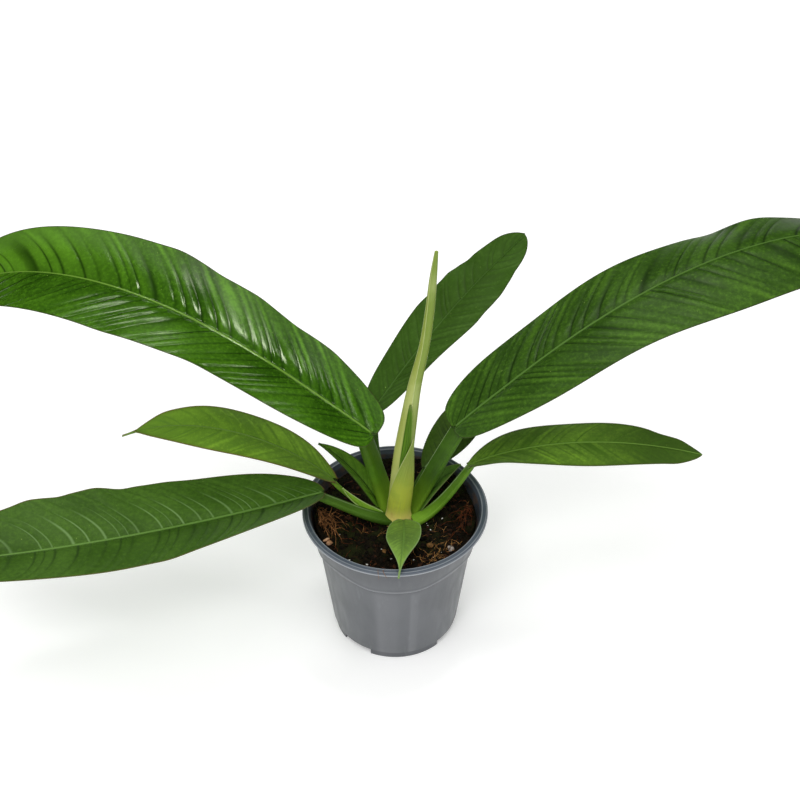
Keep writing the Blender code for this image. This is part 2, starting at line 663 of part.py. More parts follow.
def midrib_path(leaf, start):
    """Points along the midrib at even steps."""
    step = leaf["length"] * MM / PATH_STEPS
    place = start.copy()
    points = [place.copy()]
    for index in range(PATH_STEPS):
        t = (index + 0.5) / PATH_STEPS
        azimuth = blend(leaf["azimuth"], t)
        rise = blend(leaf["rise"], t ** leaf["bend"])
        place += heading(azimuth, rise) * step
        points.append(place.copy())
    return points


def read_path(points, t):
    position = min(max(t, 0.0), 1.0) * (len(points) - 1)
    index = min(int(position), len(points) - 2)
    return points[index].lerp(points[index + 1], position - index)


def blade_frame(leaf, t):
    """The blade's own along, side and up directions at a place on its midrib."""
    azimuth = blend(leaf["azimuth"], t)
    along = heading(azimuth, blend(leaf["rise"], t ** leaf["bend"]))
    side = left_of(azimuth)
    side, up = turned(side, along.cross(side), blend(leaf["roll"], t))
    return along, side, up


def blade_point(leaf, path, t, v):
    """A point on the blade's upper face; v runs from -1 on its right margin to 1 on its left."""
    lean = VEIN_LEAN * min(1.0, t / LEAN_START) * min(1.0, (1.0 - t) / LEAN_END)
    s = min(1.0, t + lean * abs(v) ** VEIN_CURVE)
    along, side, up = blade_frame(leaf, s)
    half = blade_outline(leaf, s)
    fold = math.radians(blend(leaf["fold"], s))
    across = half * v * math.cos(fold)
    lift = half * (abs(v) * (math.sin(fold) + leaf["arch"]) - leaf["arch"] * v * v)
    full = half / (leaf["width"] / 2 * MM)
    rib = leaf.get("rib_height", 0.0) * MM * math.cos(2.0 * math.pi * leaf.get("ribs", 0) * t)
    lift += rib * full * math.sin(math.pi * min(1.0, abs(v) * RIB_SPAN + RIB_START)) ** RIB_FULLNESS / 2
    wave = leaf.get("wave_height", 0.0) * MM * abs(v) ** WAVE_POWER
    phases = leaf.get("wave_phases", (0.0, 0.0))
    sway = 2.0 * math.pi * leaf.get("waves", 0.0) * s + (phases[0] if v > 0.0 else phases[1])
    lift += wave * full * math.sin(sway)
    back = leaf["lobe"] * MM * abs(v) ** LOBE_POWER * math.exp(-((s / LOBE_REACH) ** LOBE_FALL))
    return read_path(path, s) + side * across + up * lift - along * back


def keel_depth(leaf, t):
    return leaf["keel"] * MM * (1.0 - t) ** KEEL_FALL + BLADE_THICKNESS


def blade_object(name, leaf, path, rows, collection, material):
    """The blade: a ribbed sheet, thicker along its midrib."""
    keeled = "keel" in leaf

    def places_across(t):
        if not keeled:
            return PLAIN_COLUMNS
        narrow = min(KEEL_WIDEST_SHARE, KEEL_HALF_WIDTH / blade_outline(leaf, t))
        return KEELED_COLUMNS[:2] + (-narrow, 0.0, narrow) + KEELED_COLUMNS[3:]

    def place(row, column):
        t = rows[row]
        return blade_point(leaf, path, t, places_across(t)[column])

    mesh = grid_mesh(name, len(rows) - 1, len(places_across(0.0)) - 1, place)
    blade = new_object(name, mesh, collection, material)
    deepest = keel_depth(leaf, 0.0) if keeled else BLADE_THICKNESS
    group = blade.vertex_groups.new(name="thickness")
    for vert in mesh.vertices:
        group.add([vert.index], BLADE_THICKNESS / deepest, "REPLACE")
    if keeled:
        for t in rows:
            middle = blade_point(leaf, path, t, 0.0)
            for vert in mesh.vertices:
                if (vert.co - middle).length < SAME_PLACE:
                    group.add([vert.index], keel_depth(leaf, t) / deepest, "REPLACE")
    solidify = thicken(blade, deepest, -1.0)
    solidify.vertex_group = "thickness"
    return blade


def stalk_rings(leaf, path, count):
    """Centres, directions and half sizes of the first rings along the stalk, from its foot."""
    foot = Vector(leaf["foot"]) * MM
    base = path[0]
    start = heading(leaf["foot_azimuth"], leaf["foot_rise"])
    end = heading(leaf["azimuth"][0], leaf["top_rise"])
    reach = (base - foot).length
    rings = []
    for ring in range(count + 1):
        t = ring / STALK_RINGS
        point = foot * (1 + 2 * t) * (1 - t) ** 2 + base * t * t * (3 - 2 * t)
        point += start * reach * t * (1 - t) ** 2 - end * reach * t * t * (1 - t)
        along = start.lerp(end, t).normalized()
        half_width = blend(leaf["stalk_width"], t) / 2 * MM
        half_depth = blend(leaf["stalk_depth"], t) / 2 * MM
        rings.append((t, point, along, half_width, half_depth))
    return rings


def stalk_object(name, leaf, path, grow, count, collection):
    """The stalk as a tube with a channel along its upper side; a whole one ends inside the midrib."""
    azimuth = (leaf["foot_azimuth"], leaf["azimuth"][0])
    sections = []
    for t, point, along, half_width, half_depth in stalk_rings(leaf, path, count):
        side = left_of(blend(azimuth, t))
        side = (side - along * side.dot(along)).normalized()
        up = along.cross(side)
        if t == 0.0:
            point = point - along * grow
        sections.append((point - up * half_depth * t, side, up, half_width, half_depth))
    if count == STALK_RINGS:
        _, side, up = blade_frame(leaf, 0.0)
        for reach, size in STALK_END:
            t = reach * STALK_OVERLAP / (leaf["length"] * MM)
            half_width = leaf["stalk_width"][1] / 2 * MM * size
            half_depth = min(leaf["stalk_depth"][1] / 2 * MM * size, keel_depth(leaf, t) * 0.5)
            point = read_path(path, t) - up * (half_depth + STALK_END_SINK)
            sections.append((point, side, up, half_width, half_depth))

    def place(ring, angle):
        point, side, up, half_width, half_depth = sections[ring]
        height = math.sin(angle)
        if height > 0.0:
            height *= 1.0 - leaf["channel"] * height
        return point + side * (half_width + grow) * math.cos(angle) + up * (half_depth + grow) * height

    mesh = tube_mesh(name, len(sections) - 1, STALK_SIDES, place)
    return new_object(name, mesh, collection)


def make_leaf(name, leaf, parts, cutters, clearances):
    """One leaf: its blade and stalk as one piece, seated against the crown and its neighbours."""
    material = new_material(name + "_skin", leaf["colour"], leaf["roughness"])
    path = midrib_path(leaf, Vector(leaf["base"]) * MM)
    count = 2 * leaf["ribs"]
    rows = list(BASE_ROWS) + [row / count for row in range(1, count + 1)]
    blade = blade_object(name, leaf, path, rows, parts, material)
    stalk = as_cutter(stalk_object(name + "_stalk", leaf, path, 0.0, STALK_RINGS, cutters))
    add_boolean(blade, stalk, "UNION")
    for neighbour in leaf["carved_by"]:
        add_boolean(blade, clearances[neighbour])
    clearances[name] = as_cutter(
        stalk_object(name + "_clearance", leaf, path, CARVING_GAP, CLEARANCE_RINGS, cutters))


def make_bract(name, bract, parts, clearances):
    """One bract: a deep boat-shaped blade, seated against its neighbours."""
    material = new_material(name + "_skin", bract["colour"], bract["roughness"])
    path = midrib_path(bract, Vector(bract["foot"]) * MM)
    rows = [row / bract["rows"] for row in range(bract["rows"] + 1)]
    blade = blade_object(name, bract, path, rows, parts, material)
    for neighbour in bract["carved_by"]:
        add_boolean(blade, clearances[neighbour])


def main():
    clear_scene()
    parts = new_collection("potted_philodendron")
    cutters = new_collection("cutters")
    make_pot(parts, cutters)
    make_soil(parts, cutters)
    stem_object("stem", 0.0, parts, new_material("stem_skin", (0.3, 0.33, 0.13), 0.6))
    make_spear(parts)
    make_sheath(parts)
    make_emerging_leaf(parts)
    clearances = {
        "stem": as_cutter(stem_object("stem_clearance", CARVING_GAP, cutters)),
        "spear": as_cutter(spear_object("spear_clearance", CARVING_GAP, cutters)),
        "spear_sheath": as_cutter(sheath_object("sheath_clearance", CARVING_GAP, cutters)),
    }
    for name, leaf in LEAVES.items():
        make_leaf(name, leaf, parts, cutters, clearances)
    for name, bract in BRACTS.items():
        make_bract(name, bract, parts, clearances)


main()
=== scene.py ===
"""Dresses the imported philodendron: fine blades and stalks, rough soil, a moulded pot and their materials."""

import math
import random

import bmesh
import bpy
import numpy as np
from mathutils import Matrix, Vector, noise


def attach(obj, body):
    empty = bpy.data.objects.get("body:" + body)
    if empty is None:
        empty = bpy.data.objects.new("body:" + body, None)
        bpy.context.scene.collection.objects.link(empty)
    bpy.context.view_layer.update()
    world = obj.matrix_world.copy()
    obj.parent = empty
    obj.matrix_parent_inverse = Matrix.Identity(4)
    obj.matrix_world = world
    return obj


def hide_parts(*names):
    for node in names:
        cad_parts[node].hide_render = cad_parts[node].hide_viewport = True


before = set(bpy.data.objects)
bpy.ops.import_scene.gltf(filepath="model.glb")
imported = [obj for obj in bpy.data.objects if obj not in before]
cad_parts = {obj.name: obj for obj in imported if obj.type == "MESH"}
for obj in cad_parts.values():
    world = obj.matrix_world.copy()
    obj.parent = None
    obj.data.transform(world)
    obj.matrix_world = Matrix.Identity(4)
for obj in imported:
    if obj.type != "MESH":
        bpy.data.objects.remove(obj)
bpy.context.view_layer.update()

MM = 0.001

# Camera, floor and light
CAMERA_PLACE = (0.0032, -0.7267, 0.7919)
CAMERA_PITCH = 39.66
FOCAL_PIXELS = 1550.0
HALF_WIDTH_PIXELS = 400.0
SENSOR_WIDTH = 36.0
CAMERA_RANGE = (0.02, 60.0)
FLOOR_SIZE = 30.0
FLOOR_TONES = ((0.93, 0.93, 0.93, 1.0), (0.95, 0.95, 0.95, 1.0))
FLOOR_GLOW = 0.18
ROOM_GLOW = 0.6
WHITE = (1.0, 1.0, 1.0, 1.0)
LIGHT_TARGET = (0.0, 0.0, 0.13)
# Name, azimuth and rise in degrees, distance, size, power, and whether it leaves a highlight
LIGHTS = (
    ("key", -100.0, 60.0, 1.9, (1.8, 1.4), 16.0, False),
    ("front_box", -108.0, 52.0, 1.9, (0.4, 0.4), 5.0, True),
    ("top_box", 58.0, 77.0, 1.8, (0.3, 0.3), 4.8, True),
    ("back_right", 40.0, 52.0, 1.8, (0.2, 0.2), 0.8, True),
    ("back_left", 114.0, 54.0, 1.8, (0.4, 0.1), 1.8, True),
    ("left_strip", 92.0, 53.0, 1.8, (0.3, 0.1), 1.2, True),
)

# Pot
POT_STEPS = 160
AXIS_RADIUS = 0.5 * MM
RIM_RADIUS = 60.0 * MM
RIM_INNER_RADIUS = 55.7 * MM
RIM_HEIGHT = 100.0 * MM
LIP_DROP = 3.0 * MM
COLLAR_TOP_RADIUS = 56.2 * MM
COLLAR_FOOT_RADIUS = 51.2 * MM
COLLAR_FOOT_HEIGHT = 73.0 * MM
BODY_TOP_RADIUS = 49.8 * MM
BODY_FOOT_RADIUS = 41.5 * MM
FOOT_RADIUS = 40.5 * MM
FOOT_HEIGHT = 5.0 * MM
WALL = 1.3 * MM
FLOOR_THICKNESS = 1.6 * MM
NOTCH_ANGLES = (-39.5, 59.5, 140.5, 239.5)
NOTCH_WIDTH = 22.0 * MM
NOTCH_INNER_REACH = 31.0 * MM
NOTCH_HEIGHT = 5.0 * MM
DRAIN_RADIUS = 3.5 * MM
DRAIN_REACH = 35.5 * MM
DRAIN_SIDES = 40
CUTTER_OVERSHOOT = 10.0 * MM
LEDGE_HEIGHT = 78.5 * MM
LEDGE_DIP = 5.5 * MM
LEDGE_SPAN = (14.0, 46.0)
LEDGE_ROLL = 0.5 * MM
PANEL_SOFTNESS = 0.8
# Left and right edge in degrees and height in millimetres, repeated on each quarter
WALL_PANELS = ((-18.5, 6.0, 0.3), (11.5, 19.5, 0.35))
# Top, bottom and spacing in millimetres of the rings of the outer wall
WALL_RINGS = ((95.5, 82.0, 1.5), (81.5, 70.0, 0.4), (69.0, 6.0, 2.0))
# The inner wall's radius at one height, and how much it widens above it
INNER_WALL_RADIUS = 50.5 * MM
INNER_WALL_HEIGHT = 75.0 * MM
INNER_WALL_SLOPE = 0.2

# Soil and the bits on it
SOIL_HEIGHT = 89.5 * MM
SOIL_RADIUS = 52.3 * MM
CRUST_RINGS = 64
CRUST_SIDES = 220
# Middle and spread in degrees and height in millimetres
SOIL_BANKS = ((62.0, 48.0, 8.5), (190.0, 26.0, 8.0), (345.0, 26.0, 5.0))
CROWN_X = 2.5 * MM
CROWN_Y = -0.5 * MM
CROWN_CLEAR_RADIUS = 18.0 * MM
CROWN_BARE_RADIUS = 10.0 * MM
# How far out loose bits and heaps may lie, as shares of the soil's radius
SCATTER_REACH = 0.955
HEAP_REACH = 0.96
CHIP_PLACES = ((-6.6, -31.8), (22.0, -28.0), (35.5, -31.0))
STRAND_SIDES = 5
STRAND_STEPS = 8
LIP_STRAND_SAMPLES = 17
LIP_STRAND_RADIUS = 0.15 * MM
# Corners in millimetres of the strands over the lip
LIP_STRANDS = (
    ((-9.5, -49.0, 91.5), (-10.0, -54.5, 98.6), (-10.4, -57.6, 100.6),
     (-10.2, -60.3, 99.8), (-9.8, -60.9, 95.6)),
    ((-4.5, -50.0, 91.5), (-6.0, -55.0, 99.2), (-7.4, -58.0, 100.7),
     (-6.2, -60.4, 99.6), (-4.8, -60.8, 96.8)),
)

# Stem, spear, sheath and emerging leaf; a spear point is x, y, height and width in millimetres
STEM_RADIUS = 8.5 * MM
STEM_FOOT_HEIGHT = 76.0 * MM
STEM_TOP_HEIGHT = 98.5 * MM
STEM_SHOULDER = 7.0 * MM
STEM_FOOT_ROUND = 2.0 * MM
STEM_SCAR = 0.25 * MM
STEM_STEPS = 40
STEM_SIDES = 48
SPEAR_POINTS = (
    (1.8, -1.5, 98.8, 13.4),
    (3.4, -1.8, 122.0, 13.2),
    (5.6, -2.0, 150.0, 12.2),
    (8.6, -2.0, 176.0, 10.4),
    (12.0, -1.8, 202.0, 8.4),
    (17.6, -1.2, 232.0, 6.4),
    (20.6, -0.6, 258.0, 5.6),
    (22.2, -0.2, 280.0, 4.4),
    (23.8, 0.4, 298.0, 2.2),
)
SPEAR_SIDES = 72
SPEAR_STEPS = 90
SPEAR_TIP_STEPS = 10
SPEAR_TIP_SHARE = 0.03
SPEAR_TABLE_STEPS = 40
SPEAR_DEPTH_RATIO = 0.84
SPEAR_RIDGE_ANGLE = -80.0
SPEAR_RIDGE_SPREAD = 60.0
SPEAR_RIDGE_HEIGHT = 0.14
SPEAR_MARGIN_ANGLE = -78.0
SPEAR_MARGIN_TURN = 70.0
SPEAR_MARGIN_START = 175.0
SPEAR_MARGIN_SPAN = 123.0
SPEAR_LAP = 0.45 * MM
SHEATH_FOOT_HEIGHT = 90.5 * MM
SHEATH_TIP_HEIGHT = 165.0 * MM
SHEATH_CENTRE_ANGLE = -84.0
SHEATH_TIP_ANGLE = -58.0
SHEATH_HALF_ANGLE = 78.0
SHEATH_THICKNESS = 0.9 * MM
SHEATH_CLEARANCE = 0.66 * MM
SHEATH_FLARE = 1.3 * MM
SHEATH_COLLAR = 2.6 * MM
SHEATH_VEIN = 0.06 * MM
SHEATH_SAMPLES = (80, 45)
EMERGING_FOOT_HEIGHT = 125.0 * MM
EMERGING_TIP_HEIGHT = 191.0 * MM
EMERGING_ANGLES = (-101.0, -98.0)
EMERGING_SWAY = 15.0
EMERGING_HALF_WIDTH = 2.3 * MM
EMERGING_THICKNESS = 0.7 * MM
EMERGING_CLEARANCE = 0.39 * MM
EMERGING_CREASE = 0.35 * MM
EMERGING_SAMPLES = (70, 21)

# Blades and stalks
BLADE_THICKNESS = 0.8 * MM
MARGIN_THICKNESS = 0.35 * MM
LEAN_START = 0.12
LEAN_END = 0.15
LOBE_REACH = 0.045
OUTLINE_POWER = 2.4
KEEL_FALL = 1.6
KEEL_HALF_WIDTH = 2.0 * MM
TIP_HALF_WIDTH = 0.5 * MM
BASE_HALF_WIDTH = 2.6 * MM
SHOULDER_LIFT = 1.3
SHOULDER_REACH = 5.0 * MM
MIDRIB_HEIGHT = 0.4 * MM
MIDRIB_GROOVE = 0.25 * MM
MIDRIB_STRIP = 2.6 * MM
PATH_STEPS = 160
SAMPLES_PER_RIB = 10
END_ROWS = 14
END_SHARE = 0.03
NEAR_COLUMNS = (0.0, 0.2, 0.4, 0.65, 1.0)
FAR_COLUMNS = 12
STALK_OVERLAP = 9.0 * MM
# How far into the overlap the stalk's last sections lie, and their size against the stalk's
STALK_END = ((0.35, 0.62), (1.0, 0.3))
STALK_END_SINK = 0.15 * MM
STALK_RINGS = 44
STALK_SIDES = 32
# Where the stalk's wings stand, and how wide they and the pale one are, in degrees
WING_ANGLES = (24.0, 156.0)
WING_SPREAD = 13.0
PALE_WING_SPREAD = 9.0
LEAF_SHEEN_TINT = (0.9, 1.0, 0.7, 1.0)

# What a blade has unless its own entry says otherwise, with lengths in millimetres and angles in degrees.
# A pair is the value at the near end and at the far end, but the left and the right half's for lean, curve,
# inner, hold, wave_phases and streak. A ruffle is its half (1 is left), place, spread and height.
# tip_tone is a colour, its share and its half (0 is both); margin_tone is a colour, its width and its share.
BLADE_DEFAULTS = dict(
    arch=0.05, lobe=0.0, drip=0.0, keel=0.6, lean=(0.2, 0.2), curve=(1.2, 1.2), inner=(1.0, 1.0),
    hold=(0.3, 0.3), waves=0.0, wave_height=0.0, wave_phases=(0.0, 0.0), ruffles=(),
    wing=0.0, pale_wing=-90.0, midrib=(0.3, 0.2), shine=0.25, dull=0.0, grain=0.2,
    foot_share=0.35, foot_green=(126, 164, 40), pale_vein=None, tip_tone=None, margin_tone=None,
)

# The leaves of the part's source, some refitted by a little, with more side veins and with their colours
LEAVES = {
    "leaf_upper_left": dict(
        foot=(-4.0, 6.5, 94.5), foot_azimuth=152, foot_rise=78, base=(-15.5, 5.6, 159.0), top_rise=76,
        stalk_width=(14.5, 12.5), stalk_depth=(12.5, 10.5), channel=0.5,
        azimuth=(155.5, 155.5), rise=(27.5, -46.5), bend=1.7, length=355, width=79,
        roll=(8.0, -28.0), fold=(6.0, 9.0), lobe=4.5, widest=0.5, base_power=0.22, tip_powers=(2.5, 0.85),
        ribs=31, relief=0.85, lean=(0.11, 0.11), inner=(0.55, 1.0), hold=(1.3, 0.05), keel=4.5,
        waves=2.7, wave_height=1.4, wave_phases=(2.65, 0.1),
        ruffles=((-1, 0.46, 0.035, 1.7), (-1, 0.38, 0.03, -1.4), (-1, 0.3, 0.03, 1.3), (-1, 0.22, 0.03, -1.1),
                 (-1, 0.14, 0.03, 0.9), (1, 0.32, 0.04, 1.1), (1, 0.5, 0.04, -1.1)),
        midrib=(0.9, 0.36), gloss=0.13, shine=0.6, dull=0.3, grain=0.16, streak=(0.35, 1.0), foot_share=0.8,
        deep=(40, 76, 10), mid=(58, 100, 14), bright=(94, 148, 30), groove=(24, 50, 6),
        rib_line=(100, 136, 50), edge=(52, 50, 22), under=(96, 128, 66), stalk=(72, 104, 22),
        tip_tone=((92, 142, 32), 0.5, -1.0),
    ),
    "leaf_upper_right": dict(
        foot=(9.5, 2.5, 92.5), foot_azimuth=33, foot_rise=62, base=(38.6, 12.7, 158.0), top_rise=60,
        stalk_width=(12.0, 13.0), stalk_depth=(9.0, 7.0), channel=0.7, wing=0.5, pale_wing=24.0,
        azimuth=(24.3, 20.0), rise=(33.5, -30.0), bend=1.6, length=357, width=82.5,
        roll=(-10.0, 9.0), fold=(5.0, -32.5), lobe=3.0, widest=0.5, base_power=0.26, tip_powers=(2.75, 0.78),
        ribs=31, relief=0.85, lean=(0.11, 0.11), hold=(0.35, 0.6), keel=4.5,
        waves=2.65, wave_height=1.8, wave_phases=(1.4, 2.15),
        ruffles=((1, 0.60, 0.035, -1.6), (1, 0.69, 0.05, 2.4)),
        midrib=(0.8, 0.36), gloss=0.36, shine=0.22, streak=(0.5, 0.5), foot_share=0.6,
        deep=(42, 72, 14), mid=(56, 90, 22), bright=(90, 134, 34), groove=(24, 46, 8),
        rib_line=(78, 112, 46), edge=(46, 48, 22), under=(90, 120, 64), stalk=(52, 84, 14),
    ),
    "leaf_lower_left": dict(
        foot=(-3.0, -6.4, 94.6), foot_azimuth=186, foot_rise=20, base=(-46.8, -5.9, 118.1), top_rise=38,
        stalk_width=(9.0, 6.6), stalk_depth=(8.2, 6.0), channel=0.5, wing=0.4, pale_wing=118.0,
        azimuth=(194.4, 197.5), rise=(-5.5, 13.0), bend=1.35, length=284, width=78.5,
        roll=(12.8, -8.0), fold=(10.4, 13.4), lobe=2.5, widest=0.45, base_power=0.49, tip_powers=(2.05, 0.98),
        ribs=30, relief=0.8, lean=(0.06, 0.12), curve=(2.3, 1.6), hold=(0.7, 0.35), keel=3.6,
        waves=1.9, wave_height=1.7, wave_phases=(-0.2, 0.8),
        ruffles=((-1, 0.64, 0.03, 1.7), (-1, 0.57, 0.025, -1.3), (-1, 0.49, 0.03, 1.6),
                 (-1, 0.43, 0.025, -1.2), (-1, 0.33, 0.04, 0.9), (1, 0.36, 0.04, -1.0)),
        midrib=(1.0, 0.5), gloss=0.42, streak=(0.25, 0.4), foot_share=0.8, foot_green=(46, 76, 12),
        deep=(52, 84, 20), mid=(64, 98, 28), bright=(82, 120, 36), groove=(40, 66, 20),
        rib_line=(94, 130, 58), edge=(92, 74, 44), under=(94, 124, 68), stalk=(74, 108, 30),
        pale_vein=(118, 150, 92),
    ),
    "leaf_mid_left": dict(
        foot=(-5.0, 2.5, 93.0), foot_azimuth=174, foot_rise=4, base=(-40.4, 12.6, 113.6), top_rise=54,
        stalk_width=(4.2, 3.6), stalk_depth=(3.8, 3.2), channel=0.3,
        azimuth=(167.5, 171.3), rise=(38.0, -30.0), bend=1.1, length=150, width=35.6,
        roll=(0.0, -19.0), fold=(4.4, 1.7), lobe=4.0, widest=0.47, base_power=0.6, tip_powers=(2.2, 1.0),
        drip=0.06, ribs=16, relief=0.4, lean=(0.13, 0.13), keel=2.2, waves=1.35, wave_height=1.5,
        wave_phases=(0.35, 1.1), ruffles=((1, 0.93, 0.05, 1.6), (-1, 0.8, 0.05, 0.9)),
        midrib=(0.5, 0.25), gloss=0.42, shine=0.22, streak=(0.7, 0.7),
        deep=(90, 126, 36), mid=(112, 152, 44), bright=(144, 188, 56), groove=(84, 120, 38),
        rib_line=(92, 124, 50), edge=(110, 84, 46), under=(112, 140, 74), stalk=(70, 108, 30),
        tip_tone=((86, 122, 34), 0.6, 0.0), margin_tone=((84, 104, 34), 3.2, 0.5),
    ),
    "leaf_lower_right": dict(
        foot=(11.6, -7.6, 94.4), foot_azimuth=20, foot_rise=12, base=(46.7, 12.7, 124.4), top_rise=58,
        stalk_width=(9.5, 6.0), stalk_depth=(7.6, 4.4), channel=0.5, wing=0.5, pale_wing=46.0,
        azimuth=(8.0, -4.0), rise=(29.5, -14.0), bend=0.57, length=154, width=41,
        roll=(-9.0, 10.5), fold=(8.5, -13.3), lobe=0.6, widest=0.43, base_power=0.72, tip_powers=(2.1, 0.68),
        ribs=16, relief=0.4, lean=(0.13, 0.13), keel=2.2, waves=1.55, wave_height=1.5, wave_phases=(0.5, 0.0),
        ruffles=((1, 0.91, 0.04, 1.1), (1, 0.82, 0.04, -0.8), (-1, 0.9, 0.05, -1.2), (-1, 0.14, 0.08, 1.3)),
        midrib=(0.55, 0.25), gloss=0.42, shine=0.2, streak=(0.7, 0.7), foot_share=0.1,
        deep=(88, 122, 40), mid=(95, 131, 40), bright=(134, 178, 50), groove=(66, 100, 26),
        rib_line=(104, 140, 56), edge=(74, 76, 36), under=(102, 132, 70), stalk=(74, 116, 22),
        tip_tone=((48, 74, 22), 0.8, 0.0), margin_tone=((60, 84, 26), 3.0, 0.45),
    ),
    "leaf_back": dict(
        foot=(-4.0, 11.0, 92.0), foot_azimuth=125, foot_rise=68, base=(-11.8, 39.0, 152.7), top_rise=62,
        stalk_width=(6.0, 5.0), stalk_depth=(5.0, 4.4), channel=0.4,
        azimuth=(53.0, 36.0), rise=(26.0, 25.7), bend=1.15, length=153.5, width=44.3,
        roll=(-22.0, 16.0), fold=(9.0, -3.0), lobe=5.0, widest=0.5, base_power=0.3, tip_powers=(1.95, 0.55),
        ribs=22, relief=0.5, lean=(0.13, 0.13), keel=2.6, waves=1.8, wave_height=1.2, wave_phases=(2.25, 4.6),
        ruffles=((1, 0.93, 0.06, 2.2), (1, 0.76, 0.03, -1.4), (1, 0.66, 0.03, 1.3), (1, 0.54, 0.04, -1.4),
                 (-1, 0.95, 0.04, -1.8), (-1, 0.84, 0.03, 1.4), (-1, 0.72, 0.04, -1.2), (-1, 0.6, 0.04, 1.0)),
        midrib=(0.5, 0.3), gloss=0.45, shine=0.15, streak=(0.3, 0.6),
        deep=(42, 70, 12), mid=(50, 82, 18), bright=(74, 106, 40), groove=(44, 68, 20),
        rib_line=(62, 92, 36), edge=(48, 60, 26), under=(88, 118, 62), stalk=(66, 100, 34),
    ),
    "leaf_back_right": dict(
        foot=(8.5, 8.0, 92.5), foot_azimuth=66, foot_rise=62, base=(19.4, 19.2, 117.0), top_rise=48,
        stalk_width=(4.8, 4.0), stalk_depth=(4.2, 3.4), channel=0.4,
        azimuth=(46.7, 58.8), rise=(21.0, 20.7), bend=1.2, length=75, width=29,
        roll=(-1.0, 4.0), fold=(4.0, -0.5), lobe=1.5, widest=0.48, base_power=0.59, tip_powers=(1.95, 0.93),
        ribs=11, relief=0.18, lean=(0.12, 0.12), keel=1.8, waves=1.6, wave_height=0.8, wave_phases=(3.3, 0.2),
        midrib=(0.45, 0.25), gloss=0.45, shine=0.2, streak=(0.4, 0.4),
        deep=(48, 72, 16), mid=(58, 84, 22), bright=(70, 104, 28), groove=(36, 56, 16),
        rib_line=(96, 126, 74), edge=(54, 66, 30), under=(90, 120, 62), stalk=(66, 100, 34),
    ),
    "leaf_front_small": dict(
        foot=(4.6, -9.6, 95.6), foot_azimuth=272, foot_rise=30, base=(5.5, -11.6, 99.0), top_rise=28,
        stalk_width=(3.0, 2.4), stalk_depth=(2.4, 2.0), channel=0.2,
        azimuth=(272.3, 261.0), rise=(22.5, -17.5), bend=1.3, length=57.5, width=22.4, arch=0.08,
        roll=(1.0, 18.0), fold=(5.3, 5.0), lobe=2.4, widest=0.37, base_power=0.5, tip_powers=(1.85, 2.4),
        ribs=9, relief=0.2, lean=(0.14, 0.14), keel=1.4, waves=1.7, wave_height=0.9, wave_phases=(5.1, 1.8),
        midrib=(0.7, 0.4), gloss=0.5, streak=(0.2, 0.55),
        deep=(72, 98, 42), mid=(112, 146, 56), bright=(132, 172, 60), groove=(80, 108, 46),
        rib_line=(90, 122, 50), edge=(122, 146, 92), under=(104, 134, 78), stalk=(88, 120, 56),
        tip_tone=((136, 176, 68), 0.5, 0.0),
    ),
}

BRACTS = {
    "bract_left": dict(
        foot=(-9.3, 4.3, 95.8), azimuth=(150.0, 165.0), rise=(57.0, 27.0), bend=1.25, length=60, width=15,
        roll=(-7.0, -3.0), fold=(27.0, 24.0), arch=0.12, widest=0.38, base_power=0.38,
        tip_powers=(2.15, 0.92), ribs=9, relief=0.1, gloss=0.42, streak=(0.6, 0.3),
        deep=(74, 114, 26), mid=(98, 142, 38), bright=(118, 158, 48), groove=(60, 94, 18),
        rib_line=(34, 56, 14), edge=(60, 72, 32), under=(58, 92, 28),
    ),
    "bract_left_pale": dict(
        foot=(-7.5, -1.2, 95.0), azimuth=(179.0, 158.0), rise=(12.0, 56.0), bend=1.0, length=33, width=6,
        roll=(-2.0, -4.0), fold=(20.0, 20.0), arch=0.1, widest=0.4, base_power=0.4,
        tip_powers=(2.15, 0.88), ribs=6, relief=0.05, gloss=0.5, streak=(0.4, 0.4),
        deep=(104, 148, 32), mid=(118, 162, 42), bright=(138, 178, 60), groove=(80, 118, 34),
        rib_line=(124, 168, 50), edge=(182, 200, 134), under=(108, 144, 50),
    ),
    "bract_right": dict(
        foot=(13.5, 1.6, 93.5), azimuth=(36.0, 32.0), rise=(56.0, 8.5), bend=1.25, length=44, width=13,
        roll=(1.0, 7.0), fold=(24.5, 24.5), arch=0.12, widest=0.38, base_power=0.35,
        tip_powers=(2.2, 0.87), ribs=8, relief=0.1, gloss=0.45, streak=(0.5, 0.5),
        deep=(58, 92, 26), mid=(80, 118, 40), bright=(92, 128, 48), groove=(44, 74, 22),
        rib_line=(76, 112, 42), edge=(112, 122, 74), under=(72, 108, 38),
    ),
}


def srgb(colour):
    """A linear colour from the 0 to 255 values that a screen shows."""
    linear = []
    for value in colour:
        value /= 255.0
        linear.append(value / 12.92 if value <= 0.04045 else ((value + 0.055) / 1.055) ** 2.4)
    return (*linear, 1.0)


def blend(pair, t):
    """The value between a pair's two."""
    return pair[0] + (pair[1] - pair[0]) * t


def halves(pair, v):
    """A pair's first value on the left half of a blade and its second on the right."""
    return np.where(v > 0.0, pair[0], pair[1])


def step(value, low, high):
    """A smooth rise from 0 at low to 1 at high."""
    share = np.clip((value - low) / (high - low), 0.0, 1.0)
    return share * share * (3.0 - 2.0 * share)


def headings(azimuth, rise):
    """Unit vectors from azimuths and rises in degrees."""
    azimuth, rise = np.broadcast_arrays(np.radians(azimuth), np.radians(rise))
    flat = np.cos(rise)
    return np.stack([flat * np.cos(azimuth), flat * np.sin(azimuth), np.sin(rise)], axis=-1)


def unit(vectors):
    """The vectors at length 1."""
    return vectors / np.linalg.norm(vectors, axis=-1, keepdims=True)


